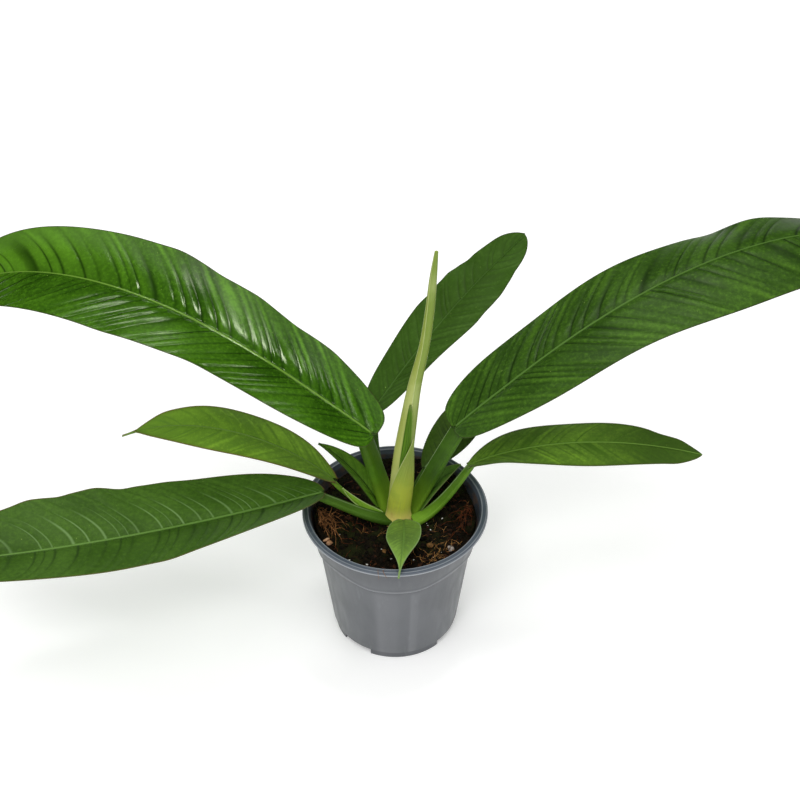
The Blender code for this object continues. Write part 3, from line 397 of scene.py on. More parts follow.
class Graph:
    """A material and short calls that add nodes to it. A value is a number or another node's output.

    A colour is three values from 0 to 255 as a screen shows them, four linear ones or another node's output.
    """

    def __init__(self, name):
        self.material = bpy.data.materials.new(name)
        self.material.use_nodes = True
        self.tree = self.material.node_tree
        self.shader = self.tree.nodes["Principled BSDF"]
        self.place = self.put("ShaderNodeTexCoord").outputs["Object"]
        self.colour = None

    def put(self, kind, inputs=(), **settings):
        item = self.tree.nodes.new(kind)
        for key, value in settings.items():
            setattr(item, key, value)
        for key, value in inputs:
            self.feed(item.inputs[key], value)
        return item

    def feed(self, socket, value):
        if isinstance(value, bpy.types.NodeSocket):
            self.tree.links.new(value, socket)
        else:
            socket.default_value = value

    def attribute(self, name):
        return self.put("ShaderNodeAttribute", attribute_name=name).outputs["Fac"]

    def math(self, operation, first, second=0.0):
        return self.put("ShaderNodeMath", ((0, first), (1, second)), operation=operation).outputs[0]

    def size(self, value):
        """The value without its sign."""
        return self.math("ABSOLUTE", value)

    def add(self, first, second):
        return self.math("ADD", first, second)

    def less(self, first, second):
        return self.math("SUBTRACT", first, second)

    def times(self, *values):
        """The product of the values."""
        product = values[0]
        for value in values[1:]:
            product = self.math("MULTIPLY", product, value)
        return product

    def rise(self, value, low, high, start=0.0, end=1.0):
        """A smooth change from start to end while the value goes from low to high."""
        item = self.put("ShaderNodeMapRange", interpolation_type="SMOOTHSTEP")
        for index, number in enumerate((value, low, high, start, end)):
            self.feed(item.inputs[index], number)
        return item.outputs[0]

    def band(self, value, middle, half):
        """1 where the value is near the middle, and 0 where it is more than half away from it."""
        return self.rise(self.size(self.less(value, middle)), 0.4 * half, half, 1.0, 0.0)

    def mix(self, amount, first, second):
        """A colour between two others."""
        item = self.put("ShaderNodeMix", data_type="RGBA")
        for index, value in ((0, amount), (6, first), (7, second)):
            if isinstance(value, tuple) and len(value) == 3:
                value = srgb(value)
            self.feed(item.inputs[index], value)
        return item.outputs[2]

    def paint(self, amount, colour):
        """Lays a colour over what has been painted so far."""
        self.colour = self.mix(amount, self.colour, colour)

    def noise(self, scale, detail=3.0, at=None, roughness=0.5):
        inputs = (
            ("Vector", at or self.place), ("Scale", scale), ("Detail", detail), ("Roughness", roughness))
        return self.put("ShaderNodeTexNoise", inputs).outputs["Fac"]

    def vector(self, x, y, z):
        return self.put("ShaderNodeCombineXYZ", ((0, x), (1, y), (2, z))).outputs[0]

    def streaks(self, across, crowding, along, stretch, detail=3.0, depth=0.0):
        """Noise drawn out along a grown part, from its attributes across and along it."""
        x = self.times(self.attribute(across), crowding)
        y = self.times(self.attribute(along), stretch)
        return self.noise(1.0, detail, self.vector(x, y, depth))

    def speckle(self):
        """The fine flecks of every leaf and stalk."""
        return self.noise(430.0, 4.0, roughness=0.7)

    def cells(self, scale):
        return self.put("ShaderNodeTexVoronoi", (("Vector", self.place), ("Scale", scale))).outputs

    def dots(self, scale, size, pick_scale, pick):
        """Small dots, of which a second noise keeps a few."""
        dot = self.rise(self.cells(scale)["Distance"], 0.05, size, 1.0, 0.0)
        return self.times(dot, self.rise(self.noise(pick_scale, 0.0), pick, pick + 0.02))

    def bump(self, height, distance, strength=0.6):
        inputs = (("Height", height), ("Distance", distance), ("Strength", strength))
        self.feed(self.shader.inputs["Normal"], self.put("ShaderNodeBump", inputs).outputs[0])

    def grain(self, base, scale, share, distance, strength=0.6, detail=2.0):
        """A bump from a value and a share of fine noise."""
        self.bump(self.add(base, self.times(self.noise(scale, detail), share)), distance, strength)

    def finish(self, roughness, specular):
        self.feed(self.shader.inputs["Base Color"], self.colour)
        self.feed(self.shader.inputs["Roughness"], roughness)
        self.shader.inputs["Specular IOR Level"].default_value = specular
        return self.material


def grid_object(name, points, attributes, sharp):
    """A closed tube from rows of points, with both ends capped."""
    rows, columns, _ = points.shape
    row, column = np.meshgrid(np.arange(rows - 1), np.arange(columns), indexing="ij")
    beside = (column + 1) % columns
    corners = (row * columns + column, (row + 1) * columns + column, (row + 1) * columns + beside,
               row * columns + beside)
    faces = np.stack([corner.ravel() for corner in corners], axis=1).tolist()
    faces.append(list(range(columns)))
    faces.append(list(range((rows - 1) * columns, rows * columns))[::-1])
    mesh = bpy.data.meshes.new(name)
    mesh.from_pydata(points.reshape(-1, 3).tolist(), [], faces)
    for key, values in attributes:
        layer = mesh.attributes.new(key, "FLOAT", "POINT")
        layer.data.foreach_set("value", np.broadcast_to(values, (rows, columns)).ravel().astype(np.float32))
    shape = bmesh.new()
    shape.from_mesh(mesh)
    bmesh.ops.recalc_face_normals(shape, faces=shape.faces)
    shape.to_mesh(mesh)
    shape.free()
    mesh.shade_smooth()
    mesh.set_sharp_from_angle(angle=math.radians(sharp))
    item = bpy.data.objects.new(name, mesh)
    bpy.context.scene.collection.objects.link(item)
    return item


def shell_object(name, outer, inner, attributes, sharp=50.0):
    """A thin shell from its two faces. An attribute is a key, its outer values and any other inner ones."""
    def both(upper, lower=None):
        lower = upper if lower is None else lower
        return np.concatenate([upper, lower[:, ::-1]], axis=1)
    return grid_object(name, both(outer, inner), [(key, both(*values)) for key, *values in attributes], sharp)


def settle(piece, material, node=None):
    """Gives a piece its material and its body, and hides the node that it stands for."""
    piece.data.materials.append(material)
    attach(piece, "root")
    if node is not None:
        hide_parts(node)


def blade_outline(leaf, t):
    """Half-width of a blade along its midrib: a blunt base and a tapered tip."""
    widest = leaf["widest"]
    near, far = leaf["tip_powers"]
    base = (1.0 - np.clip(1.0 - t / widest, 0.0, 1.0) ** OUTLINE_POWER) ** leaf["base_power"]
    reach = np.clip((t - widest) / (1.0 - leaf["drip"] - widest), 0.0, 1.0)
    tip = (1.0 - reach ** near) ** far
    floor = np.where(t < widest, BASE_HALF_WIDTH * min(1.0, leaf["width"] / 40.0), TIP_HALF_WIDTH)
    return np.maximum(leaf["width"] / 2 * MM * np.where(t < widest, base, tip), floor)


def midrib_path(leaf):
    """Points along the midrib at even steps."""
    start = np.array(leaf.get("base", leaf["foot"])) * MM
    t = (np.arange(PATH_STEPS) + 0.5) / PATH_STEPS
    along = headings(blend(leaf["azimuth"], t), blend(leaf["rise"], t ** leaf["bend"]))
    moves = np.cumsum(along * leaf["length"] * MM / PATH_STEPS, axis=0)
    return np.vstack([start, start + moves])


def read_path(path, t):
    """Places on a path at shares of its length."""
    position = np.clip(t, 0.0, 1.0) * (len(path) - 1)
    index = np.minimum(position.astype(int), len(path) - 2)
    return path[index] + (path[index + 1] - path[index]) * (position - index)[..., None]


def blade_frame(leaf, t):
    """The blade's own along, side and up directions at places on its midrib."""
    azimuth = blend(leaf["azimuth"], t)
    along = headings(azimuth, blend(leaf["rise"], t ** leaf["bend"]))
    flat = headings(azimuth + 90.0, 0.0 * t)
    normal = np.cross(along, flat)
    roll = np.radians(blend(leaf["roll"], t))[..., None]
    side = flat * np.cos(roll) + normal * np.sin(roll)
    up = normal * np.cos(roll) - flat * np.sin(roll)
    return along, side, up


def blade_sheet(leaf, path, t, v):
    """The blade's upper face without its veins; v runs from -1 on its right margin to 1 on its left."""
    lean = halves(leaf["lean"], v) * np.minimum(1.0, t / LEAN_START) * np.minimum(1.0, (1.0 - t) / LEAN_END)
    s = np.minimum(1.0, t + lean * np.abs(v) ** halves(leaf["curve"], v))
    along, side, up = blade_frame(leaf, s)
    half = blade_outline(leaf, s)
    full = half / (leaf["width"] / 2 * MM)
    fold = np.radians(blend(leaf["fold"], s))
    across = half * v * np.cos(fold)
    lift = half * (np.abs(v) * (np.sin(fold) + leaf["arch"]) - leaf["arch"] * v * v)
    sway = 2.0 * math.pi * leaf["waves"] * s + halves(leaf["wave_phases"], v)
    lift = lift + leaf["wave_height"] * MM * np.abs(v) ** 3 * full * np.sin(sway)
    for half_side, place, spread, height in leaf["ruffles"]:
        margin = np.where(v * half_side > 0.0, v * v, 0.0)
        lift = lift + height * MM * margin * np.exp(-(((s - place) / spread) ** 2))
    back = leaf["lobe"] * MM * np.abs(v) ** 1.2 * np.exp(-((s / LOBE_REACH) ** 1.5))
    shoulder = 1.0 - np.exp(-((half * v / SHOULDER_REACH) ** 2))
    swell = SHOULDER_LIFT * MM * (leaf["width"] / 80.0) ** 2 * full
    lift = lift + swell * (shoulder - 0.6) * step(s, 0.02, 0.12)
    points = read_path(path, s) + side * across[..., None] + up * lift[..., None] - along * back[..., None]
    return points, s, half, full


def vein_phase(leaf, s, v, seed):
    """Counts the side veins at places on a blade; they crowd at its base and don't match left to right."""
    rng = random.Random(seed)
    t = s - halves(leaf["lean"], v) * np.abs(v) ** halves(leaf["curve"], v)
    phase = leaf["ribs"] * (1.3 * t - 0.3 * t * t)
    left = np.zeros_like(t)
    right = np.zeros_like(t)
    for cycle in (3.0, 7.0, 11.0):
        left += 0.2 * np.sin(cycle * 2.0 * math.pi * t + rng.uniform(0.0, 6.0))
        right += 0.2 * np.sin(cycle * 2.0 * math.pi * t + rng.uniform(0.0, 6.0))
    return phase + halves((0.35 + left, right), v)


def vein_strength(leaf, phase, v, seed):
    """How deep the nearest side vein is; strong and weak ones are mixed."""
    rng = np.random.default_rng(seed)
    strengths = 0.42 + 0.63 * rng.random((2, leaf["ribs"] * 2 + 40))
    index = np.clip(np.round(phase).astype(int) + 20, 0, strengths.shape[1] - 1)
    return halves((strengths[0][index], strengths[1][index]), v)


def vein_relief(leaf, phase, v, full, strength):
    """Sunk side veins with quilted cushions between them, which change from inner at the midrib to hold."""
    away = np.abs(phase - np.round(phase)) * 2.0
    cushion = 1.0 - (1.0 - away) ** 2.4
    reach = np.abs(v)
    inner = halves(leaf["inner"], v)
    outer = halves(leaf["hold"], v)
    envelope = step(reach, 0.0, 0.08) * (inner + (outer - inner) * reach ** 1.4)
    envelope = envelope * step(1.0 - reach, 0.0, 0.08)
    return leaf["relief"] * MM * full * envelope * (cushion - 0.75) * strength


def blade_rows(leaf):
    """Places along a blade, crowded at both of its blunt ends."""
    even = np.linspace(0.0, 1.0, leaf["ribs"] * SAMPLES_PER_RIB + 1)
    base = END_SHARE * np.linspace(0.0, 1.0, END_ROWS) ** 2.5
    tip = 1.0 - END_SHARE * np.linspace(0.0, 1.0, END_ROWS) ** 2.0
    middle = even[(even > 0.034) & (even < 0.966)]
    return np.concatenate([base, middle, tip[::-1]])


def blade_columns(half):
    """Places across a blade from -1 to 1, crowded at the midrib, for its half-width at each row."""
    near = MIDRIB_STRIP * np.minimum(1.0, half / (8.0 * MM)) / half
    far = np.linspace(0.0, 1.0, FAR_COLUMNS + 1)[1:]
    left = [near * share for share in NEAR_COLUMNS] + [near + (1.0 - near) * share for share in far]
    left = np.stack(left, axis=1)
    return np.concatenate([-left[:, :0:-1], left], axis=1)


def make_blade(node, leaf, seed):
    """One blade as a closed shell with sunk veins, a raised midrib and a keel under it."""
    rows = blade_rows(leaf)
    v = blade_columns(blade_outline(leaf, rows))
    t = np.broadcast_to(rows[:, None], v.shape)
    sheet, s, half, full = blade_sheet(leaf, midrib_path(leaf), t, v)
    # The tiny term keeps the blunt ends, where points meet, from dividing by zero.
    normal = unit(np.cross(np.gradient(sheet, axis=0), np.gradient(sheet, axis=1)) + 1e-15)
    _, _, up = blade_frame(leaf, t)
    ends = step(t, 0.0, 0.02)[..., None]
    normal = unit(normal * ends + up * (1.0 - ends))
    phase = vein_phase(leaf, s, v, seed)
    strength = vein_strength(leaf, phase, v, seed)
    offset = v * half
    width = blend(leaf["midrib"], t) * MM
    grooves = MIDRIB_GROOVE * np.exp(-(((np.abs(offset) - 1.9 * width) / width) ** 2))
    ridge = MIDRIB_HEIGHT * np.exp(-((offset / width) ** 4)) - grooves
    ridge = ridge * np.minimum(1.0, half / (6.0 * MM))
    relief = vein_relief(leaf, phase, v, full, strength)
    thickness = MARGIN_THICKNESS + (BLADE_THICKNESS - MARGIN_THICKNESS) * (1.0 - np.abs(v) ** 6)
    keel = leaf["keel"] * MM * (1.0 - t) ** KEEL_FALL * np.exp(-((offset / KEEL_HALF_WIDTH) ** 2))
    keel = keel * np.minimum(1.0, half / (4.0 * MM)) + MIDRIB_GROOVE * np.exp(-((offset / width) ** 2))
    top = sheet + normal * (relief + ridge)[..., None]
    bottom = sheet + normal * (relief - thickness - keel)[..., None]
    attributes = (
        ("vein", phase), ("offset", offset / MM), ("edge", (half - np.abs(offset)) / MM), ("along", s),
        ("under", np.zeros_like(v), np.ones_like(v)), ("across", v), ("strength", strength))
    piece = shell_object(node + "_blade", top, bottom, attributes, 45.0)
    settle(piece, leaf_material(node + "_green", leaf), node)


def stalk_sections(leaf, path):
    """Centres, side and up directions and half sizes along the stalk, from its foot into the midrib."""
    foot = np.array(leaf["foot"]) * MM
    base = path[0]
    start = headings(leaf["foot_azimuth"], leaf["foot_rise"])
    end = headings(leaf["azimuth"][0], leaf["top_rise"])
    reach = np.linalg.norm(base - foot)
    sections = []
    for t in np.linspace(0.0, 1.0, STALK_RINGS + 1):
        point = foot * (1 + 2 * t) * (1 - t) ** 2 + base * t * t * (3 - 2 * t)
        point = point + start * reach * t * (1 - t) ** 2 - end * reach * t * t * (1 - t)
        along = unit(start + (end - start) * t)
        side = headings(blend((leaf["foot_azimuth"], leaf["azimuth"][0]), t) + 90.0, 0.0)
        side = unit(side - along * np.dot(side, along))
        up = np.cross(along, side)
        half_width = blend(leaf["stalk_width"], t) / 2 * MM
        half_depth = blend(leaf["stalk_depth"], t) / 2 * MM
        sections.append((point - up * half_depth * t, side, up, half_width, half_depth))
    _, side, up = blade_frame(leaf, np.array(0.0))
    for share, size in STALK_END:
        t = share * STALK_OVERLAP / (leaf["length"] * MM)
        keel = leaf["keel"] * MM * (1.0 - t) ** KEEL_FALL + BLADE_THICKNESS
        half_width = leaf["stalk_width"][1] / 2 * MM * size
        half_depth = min(leaf["stalk_depth"][1] / 2 * MM * size, keel * 0.5)
        point = read_path(path, np.array(t)) - up * (half_depth + STALK_END_SINK)
        sections.append((point, side, up, half_width, half_depth))
    return sections


def make_stalk(node, leaf):
    """The stalk as a smooth tube with a channel along its upper side and thin wings beside it."""
    sections = stalk_sections(leaf, midrib_path(leaf))
    angle = -2.0 * math.pi * np.arange(STALK_SIDES) / STALK_SIDES
    height = np.sin(angle)
    height = np.where(height > 0.0, height * (1.0 - leaf["channel"] * height), height)
    degrees = np.degrees(angle) % 360.0
    wing = sum(np.exp(-(((degrees - place) / WING_SPREAD) ** 2)) for place in WING_ANGLES)
    rings = []
    for point, side, up, half_width, half_depth in sections:
        ring = point + np.outer(np.cos(angle) * half_width, side) + np.outer(height * half_depth, up)
        rings.append(ring + np.outer(wing * leaf["wing"] * MM, up))
    along = np.linspace(0.0, 1.0, len(sections))[:, None]
    pale = np.exp(-(((degrees - leaf["pale_wing"]) / PALE_WING_SPREAD) ** 2))
    attributes = (("along", along), ("wing", pale[None, :]), ("turn", (degrees / 360.0)[None, :]))
    piece = grid_object(node + "_stalk", np.array(rings), attributes, 60.0)
    settle(piece, stalk_material(node + "_stalk_green", leaf), node)


def spear_table():
    """Centres and widths along the spear, in close steps of height."""
    points = np.array(SPEAR_POINTS)
    padded = np.vstack([points[:1], points, points[-1:]])
    rows = []
    for index in range(len(points) - 1):
        a, b, c, d = padded[index:index + 4]
        for f in np.linspace(0.0, 1.0, SPEAR_TABLE_STEPS):
            bend = (2 * a - 5 * b + 4 * c - d) * f + (3 * b - a - 3 * c + d) * f * f
            rows.append(b + 0.5 * f * (c - a + bend))
    return np.array(rows) * MM


SPEAR_TABLE = spear_table()


def spear_surface(height, degrees, grow):
    """Points on the spear's skin, or outside it by a distance; the ridge faces forward."""
    inside = np.clip(height, SPEAR_TABLE[0, 2], SPEAR_TABLE[-1, 2])
    x, y, width = (np.interp(inside, SPEAR_TABLE[:, 2], SPEAR_TABLE[:, column]) for column in (0, 1, 3))
    away = (degrees - SPEAR_RIDGE_ANGLE + 180.0) % 360.0 - 180.0
    ridge = 1.0 + SPEAR_RIDGE_HEIGHT * np.maximum(0.0, 1.0 - np.abs(away) / SPEAR_RIDGE_SPREAD)
    angle = np.radians(degrees)
    reach_x = width / 2 * ridge + grow
    reach_y = width / 2 * SPEAR_DEPTH_RATIO * ridge + grow
    return np.stack([x + reach_x * np.cos(angle), y + reach_y * np.sin(angle), height + 0.0 * angle], axis=-1)


def make_spear(material):
    """The rolled leaf: a tapering roll with its free margin as a step along the front."""
    foot = SPEAR_POINTS[0][2] * MM
    tip = SPEAR_POINTS[-1][2] * MM
    body = np.linspace(0.0, 1.0 - SPEAR_TIP_SHARE, SPEAR_STEPS)
    end = 1.0 - SPEAR_TIP_SHARE * np.linspace(0.9, 0.0, SPEAR_TIP_STEPS) ** 2
    share = np.concatenate([body, end])
    degrees = -np.arange(SPEAR_SIDES) * 360.0 / SPEAR_SIDES
    heights, turns = np.meshgrid(foot + (tip - foot) * share, degrees, indexing="ij")
    winding = np.clip((heights / MM - SPEAR_MARGIN_START) / SPEAR_MARGIN_SPAN, 0.0, 1.0)
    margin = SPEAR_MARGIN_ANGLE - SPEAR_MARGIN_TURN * winding
    away = (turns - margin + 180.0) % 360.0 - 180.0
    fall = (1.0 - (heights - foot) / (tip - foot)) ** 0.5
    lap = SPEAR_LAP * fall * np.where(away < 0.0, np.exp(away / 40.0), -0.7 * np.exp(-away / 30.0))
    attributes = (("away", away / 180.0), ("along", share[:, None]))
    settle(grid_object("spear_roll", spear_surface(heights, turns, lap), attributes, 50.0), material,
           "spear")


def face_grid(samples):
    """Places along a small blade from 0 to 1 and across it from 1 to -1."""
    rows, columns = samples
    return np.meshgrid(np.linspace(0.0, 1.0, rows), np.linspace(1.0, -1.0, columns), indexing="ij")


def make_sheath(material):
    """The papery sheath round the front of the spear's foot, wide below and drawn to a point."""
    t, v = face_grid(SHEATH_SAMPLES)
    narrow = np.maximum(0.03, 1.0 - t ** 1.6)
    centre = SHEATH_CENTRE_ANGLE + (SHEATH_TIP_ANGLE - SHEATH_CENTRE_ANGLE) * t ** 1.5
    degrees = centre + v * SHEATH_HALF_ANGLE * narrow
    height = SHEATH_FOOT_HEIGHT + (SHEATH_TIP_HEIGHT - SHEATH_FOOT_HEIGHT) * t
    flare = SHEATH_FLARE * np.minimum(1.0, t / 0.45)
    collar = SHEATH_COLLAR * np.maximum(0.0, 1.0 - t / 0.16) ** 1.5
    veins = SHEATH_VEIN * np.cos(v * 60.0) * (1.0 - t)
    lift = SHEATH_CLEARANCE + flare + collar
    thickness = SHEATH_THICKNESS * (1.0 - 0.6 * np.abs(v) ** 6)
    outer = spear_surface(height, degrees, lift + thickness + veins)
    inner = spear_surface(height, degrees, lift)
    piece = shell_object("sheath_shell", outer, inner, (("along", t), ("across", v)))
    settle(piece, material, "spear_sheath")


def make_emerging_leaf(material):
    """The dark edge of the next leaf, a narrow lens that lies along the spear."""
    t, v = face_grid(EMERGING_SAMPLES)
    height = EMERGING_FOOT_HEIGHT + (EMERGING_TIP_HEIGHT - EMERGING_FOOT_HEIGHT) * t
    radius = np.interp(height, SPEAR_TABLE[:, 2], SPEAR_TABLE[:, 3]) / 2
    width = EMERGING_HALF_WIDTH * np.maximum(0.12, np.sin(math.pi * (0.12 + 0.84 * t)) ** 0.7)
    centre = blend(EMERGING_ANGLES, t) + EMERGING_SWAY * np.sin(math.pi * t)
    degrees = centre + np.degrees(v * width / radius)
    crease = EMERGING_CREASE * (1.0 - np.abs(v)) * np.sin(math.pi * t) ** 0.5
    thickness = EMERGING_THICKNESS * (1.0 - 0.5 * v ** 6)
    outer = spear_surface(height, degrees, EMERGING_CLEARANCE + thickness + crease)
    inner = spear_surface(height, degrees, EMERGING_CLEARANCE)
    piece = shell_object("emerging_blade", outer, inner, (("along", t), ("across", v)))
    settle(piece, material, "emerging_leaf")


def revolve(name, profile, steps, shape=None, sharp=35.0):
    """A closed profile of (radius, height) pairs turned about Z; shape may move its points."""
    turn = np.radians(np.arange(steps) * 360.0 / steps)
    radius, height = (np.array(column)[:, None] * np.ones(steps) for column in zip(*profile))
    if shape is not None:
        radius, height = shape(radius, height, np.degrees(turn)[None, :])
    points = np.stack([radius * np.cos(turn), radius * np.sin(turn), height], axis=-1)
    return grid_object(name, points, (), sharp)


def make_stem(material):
    """The short stem in the middle, ringed by the scars of shed leaves."""
    profile = [(AXIS_RADIUS, STEM_TOP_HEIGHT)]
    for height in np.linspace(STEM_FOOT_HEIGHT, STEM_TOP_HEIGHT, STEM_STEPS)[::-1]:
        top = np.clip((height - (STEM_TOP_HEIGHT - STEM_SHOULDER)) / STEM_SHOULDER, 0.0, 1.0)
        foot = np.clip((STEM_FOOT_HEIGHT + STEM_FOOT_ROUND - height) / STEM_FOOT_ROUND, 0.0, 1.0)
        scar = STEM_SCAR * math.cos(height / MM * 1.7)
        profile.append((STEM_RADIUS - 2.4 * MM * top - STEM_FOOT_ROUND * foot + scar, height))
    profile.append((AXIS_RADIUS, STEM_FOOT_HEIGHT))
    piece = revolve("stem_core", profile, STEM_SIDES)
    piece.data.transform(Matrix.Translation((CROWN_X, CROWN_Y, 0.0)))
    settle(piece, material, "stem")


def fractal(x, y, scale, seed):
    """Smooth random height at a point, between about -1 and 1."""
    return noise.fractal(Vector((x * scale, y * scale, seed)), 0.6, 2.0, 4)


def crust_height(x, y):
    """Height of the soil's rough surface at a point."""
    reach = math.hypot(x - CROWN_X, y - CROWN_Y)
    calm = min(1.0, max(0.35, reach / CROWN_CLEAR_RADIUS - 0.6))
    lumps = 1.5 * fractal(x, y, 70.0, 2.0) + 1.1 * abs(fractal(x, y, 190.0, 5.0))
    lumps = lumps + 0.5 * fractal(x, y, 520.0, 8.0)
    rim = math.hypot(x, y) / SOIL_RADIUS
    turn = math.degrees(math.atan2(y, x)) % 360.0
    bank = 0.0
    for middle, spread, rise in SOIL_BANKS:
        bank = max(bank, rise * math.exp(-(((turn - middle) / spread) ** 2)))
    return SOIL_HEIGHT + (0.9 + lumps * calm - 1.2 * rim ** 6 + bank * rim ** 3) * MM


def make_crust(material):
    """The rough top of the soil, laid over the packed soil's plain one."""
    top = []
    for reach in np.linspace(0.4, SOIL_RADIUS / MM, CRUST_RINGS) * MM:
        ring = []
        for angle in np.radians(np.arange(CRUST_SIDES) * 360.0 / CRUST_SIDES):
            x = reach * math.cos(angle)
            y = reach * math.sin(angle)
            ring.append((x, y, crust_height(x, y)))
        top.append(ring)
    top = np.array(top)
    outer = top[-1:].copy()
    outer[..., 2] = SOIL_HEIGHT - 4.0 * MM
    inner = outer * np.array((0.02, 0.02, 1.0))
    rings = np.concatenate([top, outer, inner])
    settle(grid_object("soil_crust", rings, (), 180.0), material)


def tube_shape(shape, points, radius):
    """Adds a thin closed tube along points to a bmesh."""
    points = np.array(points)
    turns = np.arange(STRAND_SIDES) * 2.0 * math.pi / STRAND_SIDES
    rings = []
    for index, (point, along) in enumerate(zip(points, unit(np.gradient(points, axis=0)))):
        side = unit(np.cross(along, (0.0, 0.3, 1.0)))
        up = np.cross(along, side)
        size = radius * (1.0 - 0.55 * abs(2.0 * index / (len(points) - 1) - 1.0) ** 3)
        rings.append([shape.verts.new(point + (side * math.cos(a) + up * math.sin(a)) * size) for a in turns])
    for first, second in zip(rings[:-1], rings[1:]):
        for k in range(STRAND_SIDES):
            beside = (k + 1) % STRAND_SIDES
            shape.faces.new((first[k], first[beside], second[beside], second[k]))
    shape.faces.new(rings[0][::-1])
    shape.faces.new(rings[-1])


def finish_shape(name, shape, smooth=True):
    """Turns a bmesh into an object."""
    bmesh.ops.recalc_face_normals(shape, faces=shape.faces)
    mesh = bpy.data.meshes.new(name)
    shape.to_mesh(mesh)
    shape.free()
    if smooth:
        mesh.shade_smooth()
    item = bpy.data.objects.new(name, mesh)
    bpy.context.scene.collection.objects.link(item)
    return item


def make_fibres(name, count, seed, place, size, radius, material, lift, curl_most):
    """Loose strands that lie on the soil in random curls."""
    rng = random.Random(seed)
    shape = bmesh.new()
    for _ in range(count):
        x, y = place(rng)
        heading = rng.uniform(0.0, 2.0 * math.pi)
        curl = rng.uniform(-curl_most, curl_most)
        step_length = size * rng.uniform(0.4, 1.0) / STRAND_STEPS
        rise = rng.uniform(0.0, lift)
        points = []
        for index in range(STRAND_STEPS + 1):
            arch = math.sin(math.pi * index / STRAND_STEPS)
            ground = crust_height(x, y) if math.hypot(x, y) < SOIL_RADIUS else SOIL_HEIGHT
            points.append((x, y, ground + (0.1 + rise * arch * size / MM * 0.35) * MM))
            heading += curl + rng.uniform(-0.5, 0.5) * curl_most
            if math.hypot(x, y) > SOIL_RADIUS - 2.5 * MM:
                heading = math.atan2(-y, -x) + rng.uniform(-0.8, 0.8)
            x += math.cos(heading) * step_length
            y += math.sin(heading) * step_length
        tube_shape(shape, points, radius * rng.uniform(0.6, 1.3))
    settle(finish_shape(name, shape), material)


def make_lip_strands(material):
    """The strands that hang over the lip at the front."""
    shape = bmesh.new()
    for corners in LIP_STRANDS:
        corners = np.array(corners) * MM
        share = np.linspace(0.0, len(corners) - 1.0, LIP_STRAND_SAMPLES)
        columns = [np.interp(share, np.arange(len(corners)), corners[:, axis]) for axis in range(3)]
        tube_shape(shape, np.stack(columns, axis=1), LIP_STRAND_RADIUS)
    settle(finish_shape("lip_strands", shape), material)


def make_lumps(name, count, seed, place, sizes, flat, material, detail=1, sink=0.35):
    """Broken lumps that lie half sunk in the soil."""
    rng = random.Random(seed)
    shape = bmesh.new()
    for number in range(count):
        x, y = place(rng)
        size = rng.uniform(*sizes) * MM / 2
        made = bmesh.ops.create_icosphere(shape, subdivisions=detail, radius=1.0)
        spin = Matrix.Rotation(rng.uniform(0.0, 6.3), 3, "Z")
        spin = spin @ Matrix.Rotation(rng.uniform(-0.6, 0.6), 3, "X")
        stretch = Vector((rng.uniform(0.8, 1.5), rng.uniform(0.6, 1.0), rng.uniform(*flat)))
        centre = Vector((x, y, crust_height(x, y) + size * stretch.z * (1.0 - 2.0 * sink)))
        for vert in made["verts"]:
            bumps = 1.0 + 0.35 * noise.noise(vert.co * 1.4 + Vector((number * 3.1, 0.0, seed)))
            local = Vector([vert.co[k] * stretch[k] for k in range(3)]) * bumps * size
            vert.co = centre + spin @ local
    settle(finish_shape(name, shape, detail > 1), material)


def anywhere(rng):
    """A random place on the soil, outside the crown."""
    while True:
        reach = SOIL_RADIUS * SCATTER_REACH * math.sqrt(rng.random())
        turn = rng.uniform(0.0, 2.0 * math.pi)
        x = reach * math.cos(turn)
        y = reach * math.sin(turn)
        if math.hypot(x - CROWN_X, y - CROWN_Y) > CROWN_BARE_RADIUS:
            return x, y


def near(x, y, spread):
    """A maker of random places round a point on the soil."""
    def place(rng):
        while True:
            px = x * MM + rng.gauss(0.0, spread * MM)
            py = y * MM + rng.gauss(0.0, spread * MM)
            if math.hypot(px, py) < SOIL_RADIUS * HEAP_REACH:
                return px, py
    return place


def cut(item, *tools):
    """Cuts tools out of an object and keeps the result as its plain mesh."""
    for tool in tools:
        boolean = item.modifiers.new("cut " + tool.name, "BOOLEAN")
        boolean.operation = "DIFFERENCE"
        boolean.solver = "EXACT"
        boolean.object = tool
    evaluated = item.evaluated_get(bpy.context.evaluated_depsgraph_get())
    mesh = bpy.data.meshes.new_from_object(evaluated)
    item.modifiers.clear()
    item.data = mesh


def notch_cutter(name, grow, top):
    """The four boxes of the notches under the foot, as one cutter."""
    shape = bmesh.new()
    half = NOTCH_WIDTH / 2 + grow
    low = (NOTCH_INNER_REACH - grow, -half, -CUTTER_OVERSHOOT)
    high = (RIM_RADIUS, half, top)
    for angle in NOTCH_ANGLES:
        made = bmesh.ops.create_cube(shape, size=1.0)
        turn = Matrix.Rotation(math.radians(angle - 90.0), 3, "Z")
        for vert in made["verts"]:
            vert.co = turn @ Vector([low[k] + (high[k] - low[k]) * (vert.co[k] + 0.5) for k in range(3)])
    return finish_shape(name, shape, False)


def drain_cutter(name):
    """The four drain holes, as one cutter."""
    shape = bmesh.new()
    for angle in NOTCH_ANGLES:
        turn = math.radians(angle - 90.0)
        centre = Vector((math.cos(turn), math.sin(turn), 0.0)) * DRAIN_REACH
        made = bmesh.ops.create_cone(
            shape, cap_ends=True, segments=DRAIN_SIDES, radius1=DRAIN_RADIUS, radius2=DRAIN_RADIUS,
            depth=2 * CUTTER_OVERSHOOT)
        bmesh.ops.translate(shape, vec=centre, verts=made["verts"])
    return finish_shape(name, shape, False)


